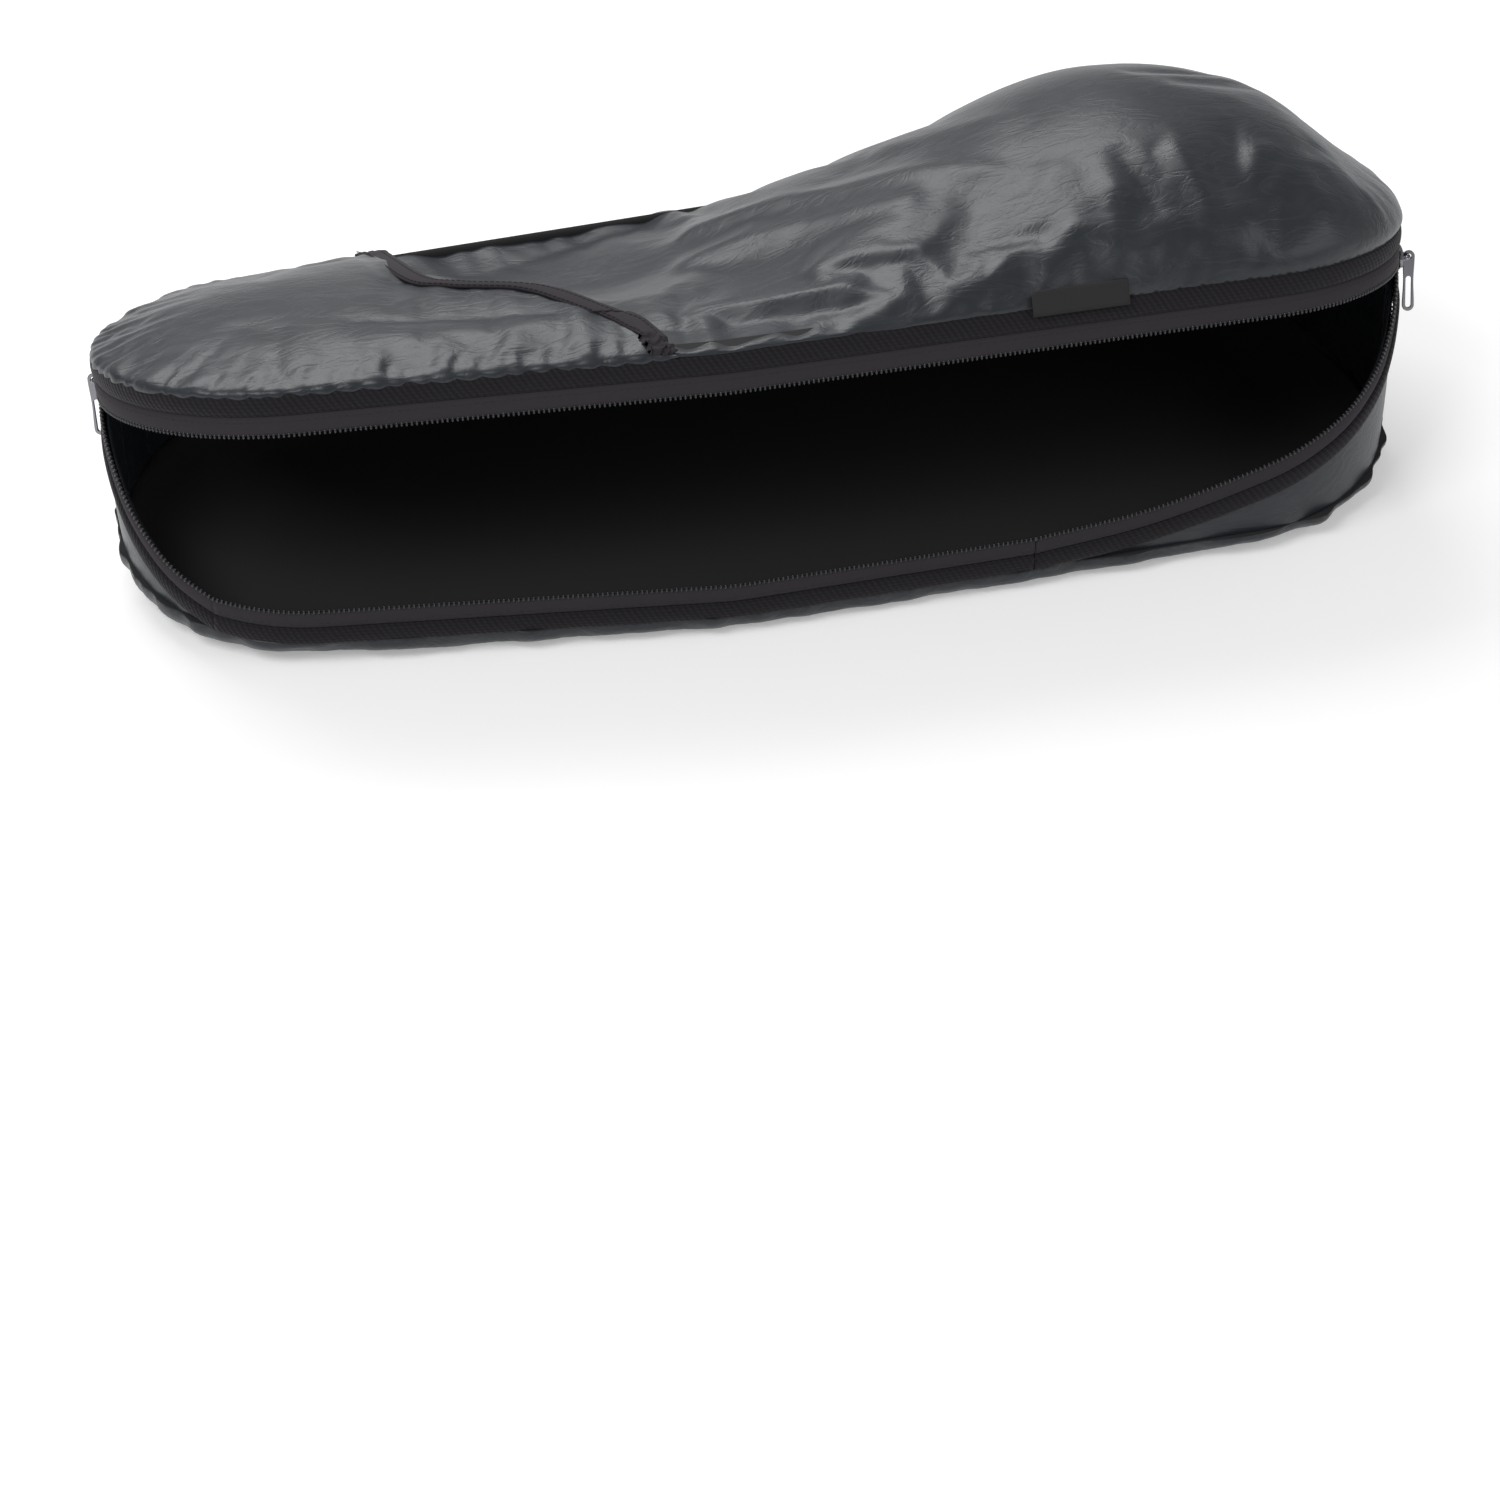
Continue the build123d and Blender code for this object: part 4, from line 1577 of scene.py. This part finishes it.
# ======================================================================================
# Label
# ======================================================================================
def make_label(sizes):
    """Blank folded label that stands over the seam of the front half."""
    centre, wide, tall = 112 * MM, 42 * MM, 10 * MM
    ring, outs = whole_rim(1 * MM)
    chosen = (np.abs(ring[:, 0] - centre) < wide / 2) & (ring[:, 1] < 0)
    run = ring[chosen], outs[chosen]
    order = np.argsort(run[0][:, 0])
    run = run[0][order], run[1][order]
    t = np.linspace(0, 1, len(run[0]))
    rows = 6
    heights = np.linspace(sizes.seam - 1.5 * MM, sizes.seam - 1.5 * MM + tall, rows)
    lean = np.linspace(3.4 * MM, 0.6 * MM, rows)
    outer = rim_sections(run, np.stack([lean + 0.35 * MM, heights], 1))
    inner = rim_sections(run, np.stack([lean - 0.35 * MM, heights], 1))
    ripple = 0.7 * MM * np.sin(t * 9 + 0.6)[:, None] * np.linspace(0, 1, rows)
    outer[:, :, 1] -= ripple
    inner[:, :, 1] -= ripple
    sections = np.concatenate([outer, inner[:, ::-1]], 1)
    piece = tube("blank_label", placed_sections(sections, place_front), finish_of("label"))
    return settle(piece, "label", "front_half", "side_label")


# ======================================================================================
# Sliders, pulls and stops
# ======================================================================================
def slider_axes(corner, angle):
    """Place and axes of a slider: along the chain, outward, and up the band."""
    x, y, radius = CORNERS[corner]
    a = radians(angle)
    out = np.array([cos(a), sin(a), 0])
    along = np.array([-sin(a), cos(a), 0])
    origin = np.array([x, y, 0]) + out * (radius - 0.6 * MM)
    return origin, along, out, np.array([0, 0, 1.0])


def place_metal(piece, axes):
    """Moves a metal piece from its own axes (along, out, up) to the rest pose."""
    origin, along, out, up = axes
    points = mesh_points(piece)
    placed = origin + points[:, :1] * along + points[:, 1:2] * out + points[:, 2:3] * up
    set_mesh_points(piece, place_front(placed))
    return settle_normals(piece)


def extruded(name, outline, low, high, plane, holes=()):
    """Flat plate with a bevelled edge: outline in a plane, from one level to another."""
    curve = bpy.data.curves.new(name, "CURVE")
    curve.dimensions = "2D"
    curve.fill_mode = "BOTH"
    for loop in (outline, *holes):
        spline = curve.splines.new("POLY")
        spline.points.add(len(loop) - 1)
        for point, (x, y) in zip(spline.points, loop):
            point.co = (x, y, 0, 1)
        spline.use_cyclic_u = True
    bevel = min(0.3 * MM, (high - low) * 0.3)
    curve.extrude = (high - low) / 2 - bevel
    curve.bevel_depth = bevel
    curve.bevel_resolution = 2
    curve.offset = -bevel
    holder = bpy.data.objects.new(name + "_curve", curve)
    bpy.context.scene.collection.objects.link(holder)
    mesh = evaluated_mesh(holder)
    bpy.data.objects.remove(holder)
    bpy.data.curves.remove(curve)
    mesh.name = name
    piece = bpy.data.objects.new(name, mesh)
    bpy.context.scene.collection.objects.link(piece)
    mesh.materials.clear()
    mesh.materials.append(finish_of("metal"))
    points = mesh_points(piece)
    points[:, 2] += (low + high) / 2
    order = {"XZ": (0, 2, 1), "YZ": (2, 0, 1)}[plane]
    set_mesh_points(piece, points[:, order])
    return piece


def ellipse_loop(cx, cy, rx, ry, count=24):
    """Points round an ellipse."""
    a = np.linspace(0, 2 * pi, count, endpoint=False)
    return np.stack([cx + rx * np.cos(a), cy + ry * np.sin(a)], 1)


def slot_loop(cx, y0, y1, half, count=10):
    """Points round a slot with round ends, upright."""
    a = np.linspace(0, pi, count)
    upper = np.stack([cx + half * np.cos(a), y1 - half + half * np.sin(a)], 1)
    lower = np.stack([cx - half * np.cos(a), y0 + half - half * np.sin(a)], 1)
    return np.concatenate([upper, lower])


def joined(name, pieces):
    """One object from several."""
    shape = bmesh.new()
    for piece in pieces:
        shape.from_mesh(piece.data)
        bpy.data.objects.remove(piece)
    mesh = bpy.data.meshes.new(name)
    shape.to_mesh(mesh)
    shape.free()
    mesh.materials.append(finish_of("metal"))
    mesh.polygons.foreach_set("use_smooth", [False] * len(mesh.polygons))
    piece = bpy.data.objects.new(name, mesh)
    bpy.context.scene.collection.objects.link(piece)
    return piece


def make_slider_body(side, axes):
    """Slider: two plates with a waist, flanged edges and the post between them."""
    gap, plate, half, tall = 1.6 * MM, 1.4 * MM, 5.5 * MM, 4.5 * MM
    a = np.linspace(0, 2 * pi, 28, endpoint=False)
    x = half * np.sign(np.cos(a)) * np.abs(np.cos(a)) ** 0.55
    z = tall * np.sign(np.sin(a)) * np.abs(np.sin(a)) ** 0.6 * (1 + 0.06 * x / half)
    outline = np.stack([x, z], 1)
    parts = [
        extruded("plate_outer", outline, gap, gap + plate, "XZ"),
        extruded("plate_inner", outline, -gap - plate, -gap, "XZ"),
        extruded("post", ellipse_loop(half - 1.5 * MM, 0, 1.5 * MM, 0.5 * MM), -gap - 0.2 * MM,
                 gap + 0.2 * MM, "XZ"),
    ]
    for end in (-1, 1):
        flange = np.array([
            (-half * 0.8, end * (tall - 0.85 * MM)), (half * 0.8, end * (tall - 0.85 * MM)),
            (half * 0.8, end * (tall - 0.1 * MM)), (-half * 0.8, end * (tall - 0.1 * MM)),
        ])
        for low, high in ((gap - 0.5 * MM, gap + 0.3 * MM), (-gap - 0.3 * MM, -gap + 0.5 * MM)):
            parts.append(extruded("flange", flange, low, high, "XZ"))
    piece = joined("slider_case_" + side, parts)
    place_metal(piece, axes)
    return settle(piece, "metal", "slider_" + side, "slider_body_" + side)


def make_bridge(side, axes):
    """Arched bridge on the slider's outer plate."""
    base, reach, half, bar = 3.0 * MM, 6.1 * MM, 4.25 * MM, 0.75 * MM
    a = np.linspace(0, pi, 15)
    path = np.stack([
        -half * np.cos(a), base + (reach - base) * np.sin(a) ** 0.55, np.zeros(len(a)),
    ], 1)
    path = np.concatenate([[(-half, base - 0.8 * MM, 0)], path, [(half, base - 0.8 * MM, 0)]])
    sections = []
    for i, point in enumerate(path):
        ahead = path[min(i + 1, len(path) - 1)] - path[max(i - 1, 0)]
        ahead = ahead / np.linalg.norm(ahead)
        side_way = np.array([0, 0, 1.0])
        outward = np.cross(side_way, ahead)
        ring = np.linspace(0, 2 * pi, 12, endpoint=False)
        sections.append([
            point + bar * (np.cos(r) * outward + 1.15 * np.sin(r) * side_way) for r in ring
        ])
    piece = tube("slider_bridge_bar_" + side, sections, finish_of("metal"))
    place_metal(piece, axes)
    return settle(piece, "metal", "slider_" + side, "slider_bridge_" + side)


def make_pull(side, axes):
    """Flat pull: an eye round the bridge, a waist and a long slot, hanging down."""
    drop, half, thick = 21.8 * MM, 2.6 * MM, 0.65 * MM
    heights = np.linspace(0, 1, 14)
    waist = half * (1 - 0.16 * np.sin(pi * heights) ** 2)
    a = np.linspace(0, pi, 10)
    top = np.stack([half * np.cos(a), half * np.sin(a)], 1)
    bottom = np.stack([-half * np.cos(a), -drop - half * np.sin(a)], 1)
    left = np.stack([-waist, -drop * heights], 1)[1:-1]
    right = np.stack([waist, -drop * heights], 1)[1:-1][::-1]
    outline = np.concatenate([top, left, bottom, right])
    eye = ellipse_loop(0, 0, 1.15 * MM, 1.15 * MM)
    slot = slot_loop(0, -drop - 1.0 * MM, -drop + 13 * MM, 1.15 * MM)
    piece = extruded("pull_tab_" + side, outline, -thick, thick, "YZ", (eye, slot))
    points = mesh_points(piece)
    points[:, 1] += 6.1 * MM
    set_mesh_points(piece, points)
    place_metal(piece, axes)
    return settle(piece, "metal", "pull_" + side, "pull_" + side)


def make_stop(side, corner, angle):
    """Folded metal stop at the zip's end."""
    gap, plate = 1.6 * MM, 0.7 * MM
    outline = slot_loop(0, -4.5 * MM, 4.5 * MM, 2.0 * MM)
    parts = [
        extruded("stop_outer", outline, gap, gap + plate, "XZ"),
        extruded("stop_inner", outline, -gap - plate, -gap, "XZ"),
        extruded("stop_core", ellipse_loop(0, 0, 1.6 * MM, 0.4 * MM), -gap, gap, "XZ"),
    ]
    piece = joined("zip_end_stop_" + side, parts)
    place_metal(piece, slider_axes(corner, angle))
    return settle(piece, "metal", "front_half", "zip_stop_" + side)


# ======================================================================================
# Operators
# ======================================================================================
class BAG_OT_finishes(bpy.types.Operator):
    """Make the materials"""

    bl_idname = "bag.finishes"
    bl_label = "Materials"

    def execute(self, context):
        make_finishes(context.scene.bag_colours)
        return {"FINISHED"}


class BAG_OT_padding(bpy.types.Operator):
    """Make the padded front and back panels"""

    bl_idname = "bag.padding"
    bl_label = "Padded panels"

    def execute(self, context):
        make_front_panel(context.scene.bag_padding)
        make_back_panel(context.scene.bag_padding)
        return {"FINISHED"}


class BAG_OT_pocket(bpy.types.Operator):
    """Make the slip pocket and its hem"""

    bl_idname = "bag.pocket"
    bl_label = "Pocket"

    def execute(self, context):
        sizes = context.scene.bag_padding
        cloth, flat, area = make_pocket(sizes)
        hem = make_hem(sizes)
        return {"FINISHED"}


class BAG_OT_trim(bpy.types.Operator):
    """Make the woven bands, tapes, bindings and soft end walls"""

    bl_idname = "bag.trim"
    bl_label = "Bands and walls"

    def execute(self, context):
        sizes = context.scene.bag_padding
        zips = context.scene.bag_zip
        make_upper_trim(sizes, zips)
        make_rear_trim(sizes, zips)
        make_lower_trim(sizes, zips)
        for side in ("right", "left"):
            make_climb(side, sizes, zips)
        make_walls(sizes)
        return {"FINISHED"}


class BAG_OT_zip(bpy.types.Operator):
    """Set the coils and the stitches"""

    bl_idname = "bag.zip"
    bl_label = "Coils and stitches"

    def execute(self, context):
        make_coils(context.scene.bag_zip)
        make_stitches(context.scene.bag_padding, context.scene.bag_zip)
        return {"FINISHED"}


class BAG_OT_label(bpy.types.Operator):
    """Make the blank side label"""

    bl_idname = "bag.label"
    bl_label = "Label"

    def execute(self, context):
        make_label(context.scene.bag_padding)
        return {"FINISHED"}


class BAG_OT_metal(bpy.types.Operator):
    """Make the sliders, bridges, pulls and stops"""

    bl_idname = "bag.metal"
    bl_label = "Sliders and pulls"

    def execute(self, context):
        for side, junction in (("right", JUNCTION_RIGHT), ("left", JUNCTION_LEFT)):
            axes = slider_axes(*junction)
            make_slider_body(side, axes)
            make_bridge(side, axes)
            make_pull(side, axes)
        make_stop("right", *STOP_RIGHT)
        make_stop("left", *STOP_LEFT)
        return {"FINISHED"}


class BAG_OT_stage(bpy.types.Operator):
    """Make the camera, the lights, the floor and the plain background"""

    bl_idname = "bag.stage"
    bl_label = "Stage"

    def execute(self, context):
        make_camera()
        make_lights()
        make_floor(context.scene.bag_colours)
        make_world()
        context.scene.view_settings.view_transform = "Standard"
        return {"FINISHED"}


def make_camera():
    """Camera at the photograph's viewing angle, from the narrow end's front corner."""
    azimuth = radians(-14.104)
    elevation = radians(31.814)
    pitch = radians(6.807)
    distance = 1.4606
    focus = Vector((0, 0, 65 * MM)) - Vector(MIDDLE)
    back = Vector((sin(azimuth) * cos(elevation), -cos(azimuth) * cos(elevation), sin(elevation)))
    up = Vector((-sin(azimuth) * sin(elevation), cos(azimuth) * sin(elevation), cos(elevation)))
    sight = -back * cos(pitch) - up * sin(pitch)
    data = bpy.data.cameras.new("camera")
    data.lens = 81.11
    data.sensor_width = 36
    camera = bpy.data.objects.new("camera", data)
    camera.location = focus + back * distance
    camera.rotation_euler = sight.to_track_quat("-Z", "Y").to_euler()
    bpy.context.scene.collection.objects.link(camera)
    bpy.context.scene.camera = camera


def add_light(name, place, aim, size, power, tint=(1, 1, 1)):
    """Large soft lamp that points at a place."""
    data = bpy.data.lights.new(name, "AREA")
    data.shape = "RECTANGLE"
    data.size, data.size_y = size
    data.energy = power
    data.color = tint
    lamp = bpy.data.objects.new(name, data)
    lamp.location = place
    lamp.rotation_euler = (Vector(aim) - Vector(place)).to_track_quat("-Z", "Y").to_euler()
    bpy.context.scene.collection.objects.link(lamp)


def make_lights():
    """Plain soft studio light: a large lamp over the back, one over the front left, and a fill."""
    add_light("back_light", (-0.3, 1.3, 1.5), (0, 0, 0.05), (1.6, 0.9), 26)
    add_light("key_light", (-1.2, -0.8, 1.7), (0, 0, 0.05), (1.0, 1.0), 22)
    add_light("fill_light", (1.5, -1.2, 1.1), (0, 0, 0.05), (1.2, 1.2), 8)


def make_floor(colours):
    """Plain pale floor that the camera sees as white, and that keeps the shadow."""
    finish = Finish("pale_floor")
    grain = finish.noise(finish.place(), 3.0, 2.0, 0.5)
    tint = finish.mix(grain, tuple(colours.floor), tuple(min(1, 1.02 * c) for c in colours.floor))
    surface = finish.node("ShaderNodeBsdfDiffuse", {}, {"Color": tint})
    glow = finish.node("ShaderNodeEmission", {}, {"Color": (1, 1, 1), "Strength": 0.30})
    both = finish.node("ShaderNodeAddShader", {}, {0: surface.outputs[0], 1: glow.outputs[0]})
    path = finish.node("ShaderNodeLightPath")
    camera_ray = Amount(finish, path.outputs["Is Camera Ray"])
    seen = camera_ray.top(Amount(finish, path.outputs["Is Glossy Ray"]))
    mixed = finish.node(
        "ShaderNodeMixShader", {}, {0: seen, 1: surface.outputs[0], 2: both.outputs[0]}
    )
    finish.tree.links.new(mixed.outputs[0], finish.output.inputs[0])
    half = 6.0
    corners = [(-half, -half, 0), (half, -half, 0), (half, half, 0), (-half, half, 0)]
    floor = new_object("floor", corners, [(0, 1, 2, 3)], finish.material, None, False)


def make_world():
    """Plain white surroundings, soft on the bag and white to the camera."""
    world = bpy.data.worlds.new("studio")
    world.use_nodes = True
    tree = world.node_tree
    tree.nodes.clear()
    output = tree.nodes.new("ShaderNodeOutputWorld")
    shade = tree.nodes.new("ShaderNodeBackground")
    shade.inputs["Color"].default_value = (1, 1, 1, 1)
    shade.inputs["Strength"].default_value = 0.35
    white = tree.nodes.new("ShaderNodeBackground")
    white.inputs["Color"].default_value = (1, 1, 1, 1)
    white.inputs["Strength"].default_value = 1.0
    path = tree.nodes.new("ShaderNodeLightPath")
    mix = tree.nodes.new("ShaderNodeMixShader")
    tree.links.new(path.outputs["Is Camera Ray"], mix.inputs[0])
    tree.links.new(shade.outputs[0], mix.inputs[1])
    tree.links.new(white.outputs[0], mix.inputs[2])
    tree.links.new(mix.outputs[0], output.inputs[0])
    bpy.context.scene.world = world


class BAG_PT_panel(bpy.types.Panel):
    """Steps and sizes of the bag"""

    bl_idname = "BAG_PT_panel"
    bl_label = "Zipped bag"
    bl_space_type = "VIEW_3D"
    bl_region_type = "UI"
    bl_category = "Bag"

    def draw(self, context):
        for step in STEPS:
            self.layout.operator(step.bl_idname)
        for group in (context.scene.bag_padding, context.scene.bag_zip, context.scene.bag_colours):
            box = self.layout.box()
            for key in group.bl_rna.properties.keys():
                if key not in ("rna_type", "name"):
                    box.prop(group, key)


STEPS = (
    BAG_OT_stage,
    BAG_OT_finishes,
    BAG_OT_padding,
    BAG_OT_pocket,
    BAG_OT_trim,
    BAG_OT_zip,
    BAG_OT_label,
    BAG_OT_metal,
)
GROUPS = (BagPaddingSizes, BagZipSizes, BagColours)


def register():
    """Registers the property groups, the operators and the panel."""
    for item in (*GROUPS, *STEPS, BAG_PT_panel):
        bpy.utils.register_class(item)
    bpy.types.Scene.bag_padding = bpy.props.PointerProperty(type=BagPaddingSizes)
    bpy.types.Scene.bag_zip = bpy.props.PointerProperty(type=BagZipSizes)
    bpy.types.Scene.bag_colours = bpy.props.PointerProperty(type=BagColours)


def unregister():
    """Takes back what register added."""
    del bpy.types.Scene.bag_colours
    del bpy.types.Scene.bag_zip
    del bpy.types.Scene.bag_padding
    for item in reversed((*GROUPS, *STEPS, BAG_PT_panel)):
        bpy.utils.unregister_class(item)


def main():
    """Registers the add-on and makes every piece in order."""
    register()
    for step in STEPS:
        group, name = step.bl_idname.split(".")
        getattr(getattr(bpy.ops, group), name)()


if __name__ == "__main__":
    main()
